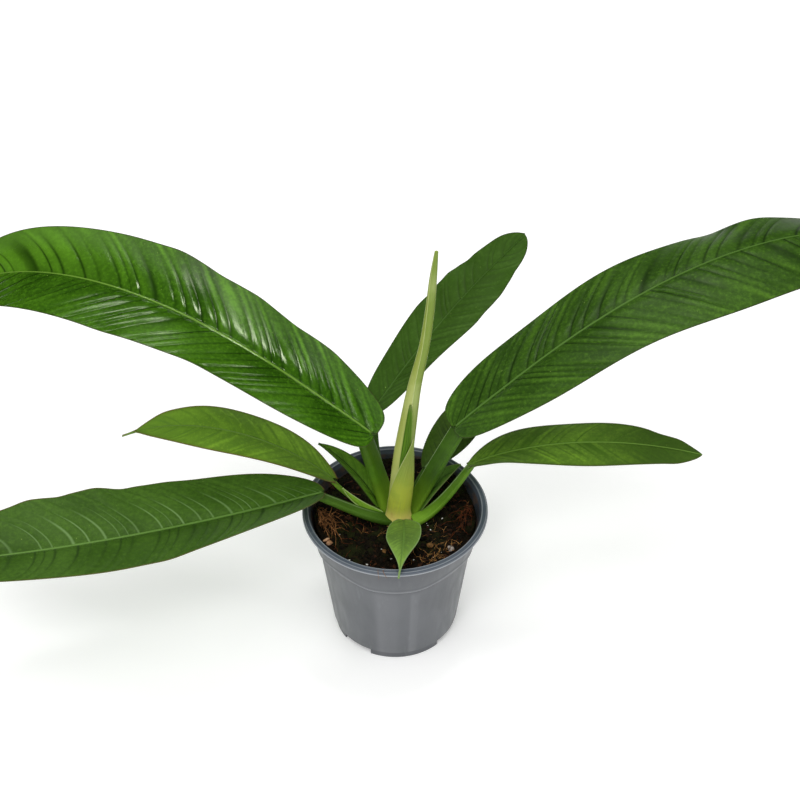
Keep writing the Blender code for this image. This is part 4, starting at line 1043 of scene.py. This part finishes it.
def wall_shape(radius, height, degrees):
    """The outer wall: a collar whose ledge dips at each quarter, and shallow upright panels below it."""
    turn = (degrees + 90.0 + 45.0) % 90.0 - 45.0
    ledge = LEDGE_HEIGHT - LEDGE_DIP * (1.0 - step(np.abs(turn), *LEDGE_SPAN))
    collar = np.interp(
        height, (COLLAR_FOOT_HEIGHT, RIM_HEIGHT - LIP_DROP), (COLLAR_FOOT_RADIUS, COLLAR_TOP_RADIUS))
    slope = (BODY_TOP_RADIUS - BODY_FOOT_RADIUS) / (COLLAR_FOOT_HEIGHT - FOOT_HEIGHT)
    body = BODY_FOOT_RADIUS + slope * (height - FOOT_HEIGHT)
    body = body + 0.23 * np.maximum(0.0, height - COLLAR_FOOT_HEIGHT)
    low = step(ledge - height, -0.2 * MM, 0.9 * MM)
    roll = LEDGE_ROLL * np.exp(-(((height - ledge - 1.2 * MM) / (1.2 * MM)) ** 2))
    wall = collar + roll - (collar + roll - body) * low
    inside = step(height, 6.0 * MM, 9.0 * MM) * step(ledge - height, 1.0 * MM, 4.0 * MM)
    panel = 0.0
    for left, right, depth in WALL_PANELS:
        away = np.abs(turn - (left + right) / 2)
        half = (right - left) / 2
        panel = panel + depth * (1.0 - step(away, half - PANEL_SOFTNESS, half + PANEL_SOFTNESS))
    wall = wall + panel * MM * inside
    on_wall = (height < RIM_HEIGHT - LIP_DROP - 0.4 * MM) & (height > FOOT_HEIGHT + 0.7 * MM)
    return np.where(on_wall & (radius > FOOT_RADIUS), wall, radius), height


def pot_profile():
    """The outside of the pot from its rim to the middle of its underside; wall_shape then forms the wall."""
    lip_foot = RIM_HEIGHT - LIP_DROP
    profile = [
        (AXIS_RADIUS, RIM_HEIGHT),
        (RIM_RADIUS - 3.3 * MM, RIM_HEIGHT), (RIM_RADIUS - 2.9 * MM, RIM_HEIGHT - 0.35 * MM),
        (RIM_RADIUS - 1.7 * MM, RIM_HEIGHT - 0.35 * MM), (RIM_RADIUS - 1.2 * MM, RIM_HEIGHT),
        (RIM_RADIUS - 0.6 * MM, RIM_HEIGHT - 0.1 * MM), (RIM_RADIUS - 0.2 * MM, RIM_HEIGHT - 0.5 * MM),
        (RIM_RADIUS - 0.35 * MM, lip_foot + 1.0 * MM), (RIM_RADIUS, lip_foot + 0.4 * MM),
        (RIM_RADIUS - 0.3 * MM, lip_foot), (COLLAR_TOP_RADIUS + 0.8 * MM, lip_foot),
        (COLLAR_TOP_RADIUS + 0.1 * MM, lip_foot - 0.5 * MM),
    ]
    for top, bottom, spacing in WALL_RINGS:
        for height in np.arange(top, bottom, -spacing):
            profile.append((BODY_FOOT_RADIUS, height * MM))
    return profile + [
        (BODY_FOOT_RADIUS, FOOT_HEIGHT + 0.6 * MM), (FOOT_RADIUS + 0.2 * MM, FOOT_HEIGHT),
        (FOOT_RADIUS, FOOT_HEIGHT - 0.6 * MM), (FOOT_RADIUS, 0.7 * MM), (FOOT_RADIUS - 0.2 * MM, 0.2 * MM),
        (FOOT_RADIUS - 0.7 * MM, 0.0), (AXIS_RADIUS, 0.0),
    ]


def cavity_profile():
    """The inside of the pot, from above its rim to its floor."""
    return [
        (AXIS_RADIUS, RIM_HEIGHT + CUTTER_OVERSHOOT),
        (RIM_INNER_RADIUS + 0.5 * MM, RIM_HEIGHT + CUTTER_OVERSHOOT),
        (RIM_INNER_RADIUS + 0.5 * MM, RIM_HEIGHT), (RIM_INNER_RADIUS + 0.1 * MM, RIM_HEIGHT - 0.3 * MM),
        (RIM_INNER_RADIUS, RIM_HEIGHT - 1.2 * MM), (COLLAR_TOP_RADIUS - 1.8 * MM, RIM_HEIGHT - 3.4 * MM),
        (COLLAR_TOP_RADIUS - 2.0 * MM, RIM_HEIGHT - 4.0 * MM),
        (COLLAR_FOOT_RADIUS - WALL, COLLAR_FOOT_HEIGHT + WALL),
        (BODY_TOP_RADIUS - WALL, COLLAR_FOOT_HEIGHT - WALL), (BODY_FOOT_RADIUS - 1.2 * WALL, FOOT_HEIGHT),
        (FOOT_RADIUS - 2.5 * WALL, FLOOR_THICKNESS), (AXIS_RADIUS, FLOOR_THICKNESS),
    ]


def make_pot(material):
    """The pot: a turned wall with a rolled lip, a banded collar and a notched foot."""
    pot = revolve("pot_shell", pot_profile(), POT_STEPS, wall_shape, 30.0)
    cavity = revolve("pot_cavity", cavity_profile(), POT_STEPS)
    notch_walls = notch_cutter("notch_walls", WALL, NOTCH_HEIGHT + FLOOR_THICKNESS)
    notches = notch_cutter("notches", 0.0, NOTCH_HEIGHT)
    drains = drain_cutter("drains")
    cut(cavity, notch_walls)
    cut(pot, cavity, notches, drains)
    for tool in (cavity, notch_walls, notches, drains):
        bpy.data.objects.remove(tool)
    pot.data.shade_smooth()
    pot.data.set_sharp_from_angle(angle=math.radians(30.0))
    settle(pot, material, "pot")


def leaf_material(name, leaf):
    """Green that changes from cushion to cushion and is lighter towards each cushion's middle as painted
    light, with painted shade along the sunk veins, a pale midrib and a thin margin.
    """
    graph = Graph(name)
    vein, offset, along, across, edge, under, strength = (
        graph.attribute(key) for key in ("vein", "offset", "along", "across", "edge", "under", "strength"))
    distance = graph.size(graph.less(vein, graph.math("ROUND", vein)))
    reach = graph.size(across)
    patches = graph.noise(22.0, 4.0)
    fine = graph.streaks("vein", 9.0, "across", 3.0, 2.0, 4.0)
    speckle = graph.speckle()
    graph.colour = graph.mix(graph.rise(patches, 0.34, 0.64), leaf["deep"], leaf["mid"])
    broad = graph.rise(graph.streaks("vein", 0.6, "across", 1.0, 2.0), 0.40, 0.68)
    left, right = leaf["streak"]
    # Painted light: the bright green is laid most towards each cushion's middle, broken up by broad random
    # streaks, on each half by its streak share.
    cushion = graph.times(graph.rise(distance, 0.06, 0.45), broad, graph.rise(reach, 0.0, 0.9, 0.25, 0.85))
    graph.paint(graph.times(cushion, graph.rise(across, -0.02, 0.02, right, left)), leaf["bright"])
    graph.paint(graph.rise(fine, 0.4, 0.8, 0.0, 0.08), leaf["deep"])
    graph.paint(graph.rise(speckle, 0.38, 0.56, 0.3, 0.0), leaf["groove"])
    graph.paint(graph.rise(speckle, 0.5, 0.7, 0.0, 0.3), leaf["bright"])
    if leaf["tip_tone"]:
        tone, share, half_side = leaf["tip_tone"]
        tipward = graph.rise(along, 0.42, 0.8, 0.0, share)
        if half_side:
            tipward = graph.times(tipward, graph.rise(graph.times(across, half_side), -0.02, 0.05))
        graph.paint(graph.times(tipward, graph.rise(patches, 0.3, 0.5, 0.7, 1.0)), tone)
    if leaf["margin_tone"]:
        tone, width, share = leaf["margin_tone"]
        graph.paint(graph.rise(edge, 0.4, width, share, 0.0), tone)
    # Painted shade: the groove colour is laid along the sunk veins, most near the midrib and on the stronger
    # veins.
    sunk = graph.times(graph.rise(distance, 0.0, 0.17, 0.95, 0.0), graph.rise(reach, 0.3, 0.9, 1.0, 0.1))
    sunk = graph.times(sunk, strength)
    if leaf["pale_vein"]:
        right_half = graph.rise(across, -0.02, 0.02, 1.0, 0.0)
        line = graph.times(graph.rise(distance, 0.0, 0.11, 0.7, 0.0), graph.rise(reach, 0.3, 0.75, 1.0, 0.0))
        graph.paint(graph.times(line, strength, right_half), leaf["pale_vein"])
        sunk = graph.times(sunk, graph.less(1.0, right_half))
    graph.paint(sunk, leaf["groove"])
    side = graph.math("DIVIDE", graph.size(offset), graph.rise(along, 0.0, 1.0, *leaf["midrib"]))
    graph.paint(graph.rise(side, 0.7, 1.25, 1.0, 0.0), leaf["rib_line"])
    graph.paint(graph.rise(edge, 0.25, 0.8, 0.85, 0.0), leaf["edge"])
    graph.paint(graph.times(graph.dots(170.0, 0.09, 900.0, 0.6), 0.6), (132, 160, 74))
    below = graph.mix(graph.rise(side, 0.9, 1.5, 1.0, 0.0), leaf["under"], leaf["rib_line"])
    graph.paint(under, graph.mix(graph.rise(patches, 0.3, 0.7, 0.0, 0.25), below, leaf["mid"]))
    rough = graph.rise(patches, 0.3, 0.7, leaf["gloss"] - 0.04, leaf["gloss"] + 0.08)
    rough = graph.add(rough, graph.rise(fine, 0.3, 0.8, 0.0, 0.06))
    rough = graph.math("MAXIMUM", rough, graph.times(under, 0.55))
    rough = graph.math("MAXIMUM", rough, graph.rise(edge, 0.1, 0.5, 0.85, 0.0))
    if leaf["dull"]:
        rough = graph.add(rough, graph.rise(across, -0.9, -0.3, leaf["dull"], 0.0))
    graph.grain(graph.times(fine, 0.6), 1600.0, 0.4, leaf["grain"] * MM, 0.5)
    graph.shader.inputs["Specular Tint"].default_value = LEAF_SHEEN_TINT
    return graph.finish(rough, leaf["shine"])


def stalk_material(name, leaf):
    """Green with long streaks, yellower at the foot, with pale wings beside the channel."""
    graph = Graph(name)
    along = graph.attribute("along")
    streaks = graph.streaks("turn", 28.0, "along", 1.5)
    patches = graph.noise(60.0)
    graph.colour = graph.mix(graph.rise(streaks, 0.3, 0.7, 0.0, 0.55), leaf["stalk"], leaf["mid"])
    graph.paint(graph.rise(patches, 0.4, 0.7, 0.0, 0.35), leaf["bright"])
    graph.paint(graph.rise(graph.speckle(), 0.38, 0.56, 0.25, 0.0), leaf["deep"])
    graph.paint(graph.rise(along, 0.0, 0.5, leaf["foot_share"], 0.0), leaf["foot_green"])
    wings = graph.rise(graph.attribute("wing"), 0.35, 0.95, 0.0, 0.75)
    graph.paint(graph.times(wings, graph.rise(along, 0.1, 0.5)), (168, 192, 138))
    graph.grain(streaks, 1200.0, 0.3, 0.25 * MM)
    return graph.finish(graph.rise(patches, 0.3, 0.7, 0.45, 0.58), 0.16)


def spear_material():
    """Cream green left of the free margin, greener right of it, with fine long veins."""
    graph = Graph("rolled_leaf_skin")
    away = graph.attribute("away")
    upward = graph.rise(graph.attribute("along"), 0.0, 1.0)
    veins = graph.streaks("away", 40.0, "along", 5.0)
    patches = graph.noise(45.0)
    left = graph.mix(upward, (176, 182, 98), (122, 138, 40))
    right = graph.mix(upward, (128, 146, 54), (110, 132, 34))
    graph.colour = graph.mix(graph.rise(away, -0.01, 0.02), left, right)
    graph.paint(graph.rise(veins, 0.35, 0.7, 0.0, 0.4), (126, 152, 60))
    graph.paint(graph.rise(patches, 0.45, 0.7, 0.0, 0.24), (204, 212, 146))
    graph.paint(graph.rise(graph.size(away), 0.0, 0.025, 0.5, 0.0), (206, 214, 156))
    graph.grain(veins, 1300.0, 0.3, 0.2 * MM)
    return graph.finish(graph.rise(patches, 0.3, 0.7, 0.4, 0.52), 0.4)


def sheath_material():
    """Green above and yellow below, cream at the foot, with tan blotches and a brown line round the foot."""
    graph = Graph("sheath_skin")
    along = graph.attribute("along")
    reach = graph.size(graph.attribute("across"))
    veins = graph.streaks("across", 16.0, "along", 2.5)
    patches = graph.noise(90.0)
    graph.colour = graph.mix(graph.rise(along, 0.15, 0.85), (188, 198, 66), (98, 118, 30))
    graph.paint(graph.rise(veins, 0.35, 0.7, 0.0, 0.5), (154, 168, 76))
    graph.paint(graph.rise(patches, 0.4, 0.7, 0.0, 0.35), (116, 146, 46))
    # Painted shade: both sides of the sheath are painted a darker green, most towards the foot.
    side = graph.rise(reach, 0.3, 0.95, 0.0, 0.5)
    graph.paint(graph.times(side, graph.rise(along, 0.0, 0.5, 1.0, 0.2)), (96, 122, 34))
    graph.paint(graph.rise(along, 0.0, 0.26, 0.9, 0.0), (242, 218, 130))
    blotches = graph.rise(patches, 0.48, 0.62, 0.0, 0.45)
    graph.paint(graph.times(blotches, graph.rise(along, 0.08, 0.4, 1.0, 0.0)), (176, 132, 62))
    graph.paint(graph.rise(along, 0.0, 0.035, 0.8, 0.0), (158, 112, 66))
    graph.paint(graph.rise(reach, 0.9, 1.0, 0.0, 0.7), (188, 198, 136))
    graph.grain(veins, 1300.0, 0.3, 0.2 * MM)
    return graph.finish(graph.rise(patches, 0.3, 0.7, 0.4, 0.52), 0.4)


def emerging_material():
    """Dark green with a lighter right-hand margin."""
    graph = Graph("emerging_skin")
    veins = graph.streaks("across", 5.0, "along", 3.0)
    graph.colour = graph.mix(graph.rise(veins, 0.3, 0.7), (54, 88, 8), (82, 118, 20))
    graph.paint(graph.rise(graph.attribute("across"), 0.5, 0.95, 0.0, 0.75), (136, 166, 66))
    graph.paint(graph.rise(graph.attribute("along"), 0.9, 1.0), (96, 116, 50))
    graph.bump(veins, 0.2 * MM)
    return graph.finish(graph.rise(veins, 0.3, 0.7, 0.42, 0.54), 0.12)


def stem_material():
    """Tan and green skin of the old stem, blotched with brown."""
    graph = Graph("old_stem_skin")
    patches = graph.noise(160.0, 4.0)
    height = graph.put("ShaderNodeSeparateXYZ", ((0, graph.place),)).outputs[2]
    rings = graph.noise(1.0, 2.0, graph.vector(0.0, 0.0, graph.times(height, 900.0)))
    graph.colour = graph.mix(graph.rise(patches, 0.35, 0.65), (172, 168, 92), (128, 146, 60))
    graph.paint(graph.rise(rings, 0.5, 0.7, 0.0, 0.7), (142, 96, 56))
    graph.bump(patches, 0.4 * MM)
    return graph.finish(graph.rise(patches, 0.3, 0.7, 0.5, 0.65), 0.4)


def pot_material():
    """Grey satin plastic, slightly cloudy, with soil inside and fine scuffs. Painted light: lighter panels and
    pale highlight lines on the ledge and the lip's edges. Painted shade: a darker, bluer lip, a darker collar
    under it, a dark line under the ledge, a darker foot and a darker inside.
    """
    graph = Graph("grey_plastic")
    x, y, height = graph.put("ShaderNodeSeparateXYZ", ((0, graph.place),)).outputs
    reach = graph.math("SQRT", graph.add(graph.times(x, x), graph.times(y, y)))
    turn = graph.add(graph.math("ARCTAN2", y, x), math.radians(90.0 + 45.0 + 360.0))
    turn = graph.less(graph.math("MODULO", turn, math.radians(90.0)), math.radians(45.0))
    near_dip, far_dip = (math.radians(angle) for angle in LEDGE_SPAN)
    ledge = graph.rise(graph.size(turn), near_dip, far_dip, LEDGE_HEIGHT - LEDGE_DIP, LEDGE_HEIGHT)
    above = graph.less(height, ledge)
    cloud = graph.noise(28.0, 4.0)
    scuffs = graph.noise(1.0, 5.0, graph.put(
        "ShaderNodeMapping", (("Vector", graph.place), ("Scale", (220.0, 220.0, 40.0)))).outputs[0])
    graph.colour = graph.mix(graph.rise(cloud, 0.35, 0.65), (84, 87, 91), (92, 95, 99))
    # Painted reflection: the panels below the ledge are painted lighter, most on their left side.
    for left, right, _ in WALL_PANELS:
        inside = graph.band(turn, math.radians((left + right) / 2), math.radians((right - left) / 2 + 1.0))
        panel_sheen = graph.rise(turn, math.radians(left), math.radians(right), 0.7, 0.3)
        graph.paint(graph.times(inside, graph.rise(above, -6.0 * MM, 0.0, 1.0, 0.0), panel_sheen), (112, 114, 118))
    # Painted shade under the lip: the collar grows darker upwards towards it.
    graph.paint(graph.rise(above, 2.0 * MM, 18.0 * MM, 0.0, 0.5), (74, 77, 82))
    # Painted highlight along the ledge's rolled edge, and painted shade in a line just under it.
    graph.paint(graph.times(graph.band(above, 1.1 * MM, 1.2 * MM), 0.55), (134, 136, 140))
    graph.paint(graph.times(graph.band(above, -1.0 * MM, 0.9 * MM), 0.45), (66, 68, 73))
    # Painted shade on the foot, which is set in under the wall's step.
    graph.paint(graph.rise(height, FOOT_HEIGHT - 0.2 * MM, FOOT_HEIGHT + 0.4 * MM, 0.5, 0.0), (62, 66, 72))
    lip_foot = RIM_HEIGHT - LIP_DROP
    # Painted shade: the lip, above its foot, is painted darker and bluer than the wall.
    lip = graph.rise(height, lip_foot - 0.3 * MM, lip_foot + 0.1 * MM)
    graph.paint(graph.times(lip, 0.85), (72, 82, 94))
    # Painted highlights: thin pale lines along the lip's lower outer edge and along the rim's outer and inner
    # top edges.
    lower_edge_highlight = graph.times(graph.band(height, lip_foot + 0.5 * MM, 0.7 * MM),
                             graph.rise(reach, RIM_RADIUS - 0.6 * MM, RIM_RADIUS - 0.3 * MM))
    rims = graph.math("MAXIMUM", graph.band(reach, RIM_RADIUS - 1.0 * MM, 0.5 * MM),
                      graph.band(reach, RIM_INNER_RADIUS + 0.6 * MM, 0.5 * MM))
    upper_edge_highlight = graph.times(graph.rise(height, RIM_HEIGHT - 0.4 * MM, RIM_HEIGHT - 0.2 * MM), rims, 0.5)
    graph.paint(graph.times(graph.math("MAXIMUM", lower_edge_highlight, upper_edge_highlight), 0.8), (170, 174, 178))
    widening = graph.times(graph.less(height, INNER_WALL_HEIGHT), INNER_WALL_SLOPE)
    inner = graph.less(widening, graph.less(reach, INNER_WALL_RADIUS))
    inner = graph.times(graph.rise(height, 60.0 * MM, 96.0 * MM), inner)
    # Painted shade: the inside of the pot, from 60 mm up, is painted a darker blue-grey.
    graph.paint(graph.rise(inner, 0.0, 0.5 * MM, 0.0, 0.85), (48, 54, 62))
    clumps = graph.rise(graph.noise(110.0, 4.0), 0.42, 0.62, 0.0, 0.8)
    dirt = graph.times(graph.rise(inner, 0.0, 0.5 * MM), clumps)
    graph.paint(graph.times(dirt, graph.rise(height, SOIL_HEIGHT, RIM_HEIGHT, 1.0, 0.4)), (104, 76, 52))
    graph.paint(graph.rise(scuffs, 0.58, 0.72, 0.0, 0.2), (130, 133, 137))
    graph.paint(graph.times(graph.dots(420.0, 0.08, 300.0, 0.62), 0.5), (92, 80, 66))
    graph.grain(cloud, 2600.0, 0.25, 0.2 * MM, 0.5, 3.0)
    return graph.finish(graph.rise(scuffs, 0.3, 0.7, 0.33, 0.46), 0.5)


def soil_material():
    """Near-black peat with brown crumbs and a little green."""
    graph = Graph("peat")
    lumps = graph.noise(220.0, 5.0, roughness=0.65)
    crumbs = graph.cells(900.0)
    grain = graph.put("ShaderNodeSeparateColor", ((0, crumbs["Color"]),)).outputs[0]
    graph.colour = graph.mix(graph.rise(lumps, 0.35, 0.7), (9, 8, 4), (29, 22, 13))
    graph.paint(graph.rise(grain, 0.78, 0.97, 0.0, 0.5), (58, 34, 18))
    graph.paint(graph.rise(graph.noise(60.0, 4.0), 0.46, 0.66, 0.0, 0.7), (36, 42, 14))
    graph.bump(graph.add(lumps, graph.times(crumbs["Distance"], -0.8)), 1.2 * MM, 1.0)
    return graph.finish(graph.rise(lumps, 0.3, 0.7, 0.75, 0.95), 0.15)


def crumb_material(name, dark, light, rough, scale=400.0):
    """Two tones broken up by noise, for the bits that lie on the soil."""
    graph = Graph(name)
    tone = graph.noise(scale, 4.0, roughness=0.6)
    graph.colour = graph.mix(graph.rise(tone, 0.35, 0.65), dark, light)
    graph.paint(graph.rise(graph.noise(60.0, 2.0), 0.4, 0.65, 0.0, 0.6), dark)
    graph.bump(tone, 0.3 * MM, 0.8)
    return graph.finish(graph.rise(tone, 0.3, 0.7, rough, min(1.0, rough + 0.12)), 0.2)


def make_camera():
    """The photograph's camera."""
    data = bpy.data.cameras.new("camera")
    data.sensor_width = SENSOR_WIDTH
    data.lens = SENSOR_WIDTH / 2 * FOCAL_PIXELS / HALF_WIDTH_PIXELS
    data.clip_start, data.clip_end = CAMERA_RANGE
    camera = bpy.data.objects.new("camera", data)
    camera.location = CAMERA_PLACE
    camera.rotation_euler = (math.radians(90.0 - CAMERA_PITCH), 0.0, 0.0)
    bpy.context.scene.collection.objects.link(camera)
    bpy.context.scene.camera = camera


def make_light(name, azimuth, rise, distance, size, power, glossy):
    """A soft box that faces the plant; one that isn't glossy leaves no highlight."""
    data = bpy.data.lights.new(name, "AREA")
    data.shape = "RECTANGLE"
    data.size, data.size_y = size
    data.energy = power
    lamp = bpy.data.objects.new(name, data)
    way = Vector(headings(azimuth, rise).tolist())
    lamp.location = Vector(LIGHT_TARGET) + way * distance
    lamp.rotation_euler = way.to_track_quat("Z", "Y").to_euler()
    lamp.visible_glossy = glossy
    bpy.context.scene.collection.objects.link(lamp)


def make_stage():
    """A plain pale floor that runs out of sight, in an even pale room with soft boxes."""
    shape = bmesh.new()
    bmesh.ops.create_grid(shape, x_segments=1, y_segments=1, size=FLOOR_SIZE)
    floor = finish_shape("floor", shape, False)
    graph = Graph("floor_paint")
    graph.colour = graph.mix(graph.noise(0.4, 1.0), *FLOOR_TONES)
    graph.shader.inputs["Emission Color"].default_value = WHITE
    graph.shader.inputs["Emission Strength"].default_value = FLOOR_GLOW
    floor.data.materials.append(graph.finish(0.9, 0.1))
    world = bpy.data.worlds.new("room")
    world.use_nodes = True
    world.node_tree.nodes["Background"].inputs["Color"].default_value = WHITE
    world.node_tree.nodes["Background"].inputs["Strength"].default_value = ROOM_GLOW
    world.cycles_visibility.glossy = False
    bpy.context.scene.world = world
    bpy.context.scene.view_settings.view_transform = "Standard"
    for light in LIGHTS:
        make_light(*light)


def make_ground():
    """The soil and what lies on it."""
    soil = soil_material()
    make_crust(soil)
    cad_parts["soil"].data.materials.clear()
    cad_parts["soil"].data.materials.append(soil)
    tan = crumb_material("tan_fibre", (124, 84, 44), (186, 140, 84), 0.6)
    rust = crumb_material("rust_fibre", (66, 32, 16), (120, 62, 32), 0.65)
    amber = crumb_material("amber_fibre", (92, 58, 30), (176, 122, 74), 0.62)
    bark = crumb_material("bark", (20, 13, 8), (66, 38, 20), 0.8)
    peat = crumb_material("peat_crumb", (10, 8, 5), (28, 21, 13), 0.85)
    white = crumb_material("perlite", (206, 204, 196), (240, 238, 230), 0.8, 900.0)
    ochre = crumb_material("ochre_chip", (84, 58, 30), (140, 104, 58), 0.7)
    pale = crumb_material("pale_chip", (88, 76, 66), (184, 174, 166), 0.7)
    stone = crumb_material("stone", (148, 108, 76), (196, 156, 122), 0.7)
    make_lumps("peat_crumbs", 520, 3, anywhere, (1.2, 3.6), (0.5, 0.9), peat)
    make_lumps("bark_chips", 150, 4, anywhere, (1.4, 5.0), (0.25, 0.6), bark)
    make_lumps("perlite_grains", 22, 5, anywhere, (0.5, 1.4), (0.8, 1.0), white, 2, 0.25)
    make_fibres("tan_strands", 70, 6, anywhere, 11.0 * MM, 0.11 * MM, tan, 0.3, 0.25)
    make_fibres("rust_strands", 90, 7, anywhere, 12.0 * MM, 0.13 * MM, rust, 0.3, 0.3)
    make_fibres("front_strands", 34, 10, near(28.0, -34.0, 7.0), 10.0 * MM, 0.12 * MM, tan, 0.5, 0.22)
    make_fibres("left_clump", 52, 8, near(-48.0, -13.0, 4.6), 15.0 * MM, 0.15 * MM, amber, 1.7, 0.22)
    make_fibres("right_clump", 26, 9, near(50.0, -3.0, 4.0), 17.0 * MM, 0.14 * MM, rust, 1.6, 0.18)
    make_lumps("stones", 2, 12, near(-46.0, -26.0, 1.2), (2.8, 3.8), (0.7, 0.9), stone, 3, 0.2)
    for number, (place, chip) in enumerate(zip(CHIP_PLACES, (ochre, ochre, pale))):
        name = "front_chip_%d" % number
        make_lumps(name, 1, 13 + number, near(*place, 0.4), (3.6, 4.8), (0.6, 0.8), chip, 3, 0.3)
    make_lip_strands(tan)


def make_plant():
    """Every leaf, bract and stalk, each in its own greens, and the crown."""
    for seed, (node, leaf) in enumerate(LEAVES.items(), 11):
        leaf = {**BLADE_DEFAULTS, **leaf}
        make_blade(node, leaf, seed)
        make_stalk(node, leaf)
    for seed, (node, bract) in enumerate(BRACTS.items(), 31):
        make_blade(node, {**BLADE_DEFAULTS, **bract}, seed)
    make_spear(spear_material())
    make_sheath(sheath_material())
    make_emerging_leaf(emerging_material())
    make_stem(stem_material())


make_camera()
make_stage()
make_pot(pot_material())
make_ground()
make_plant()
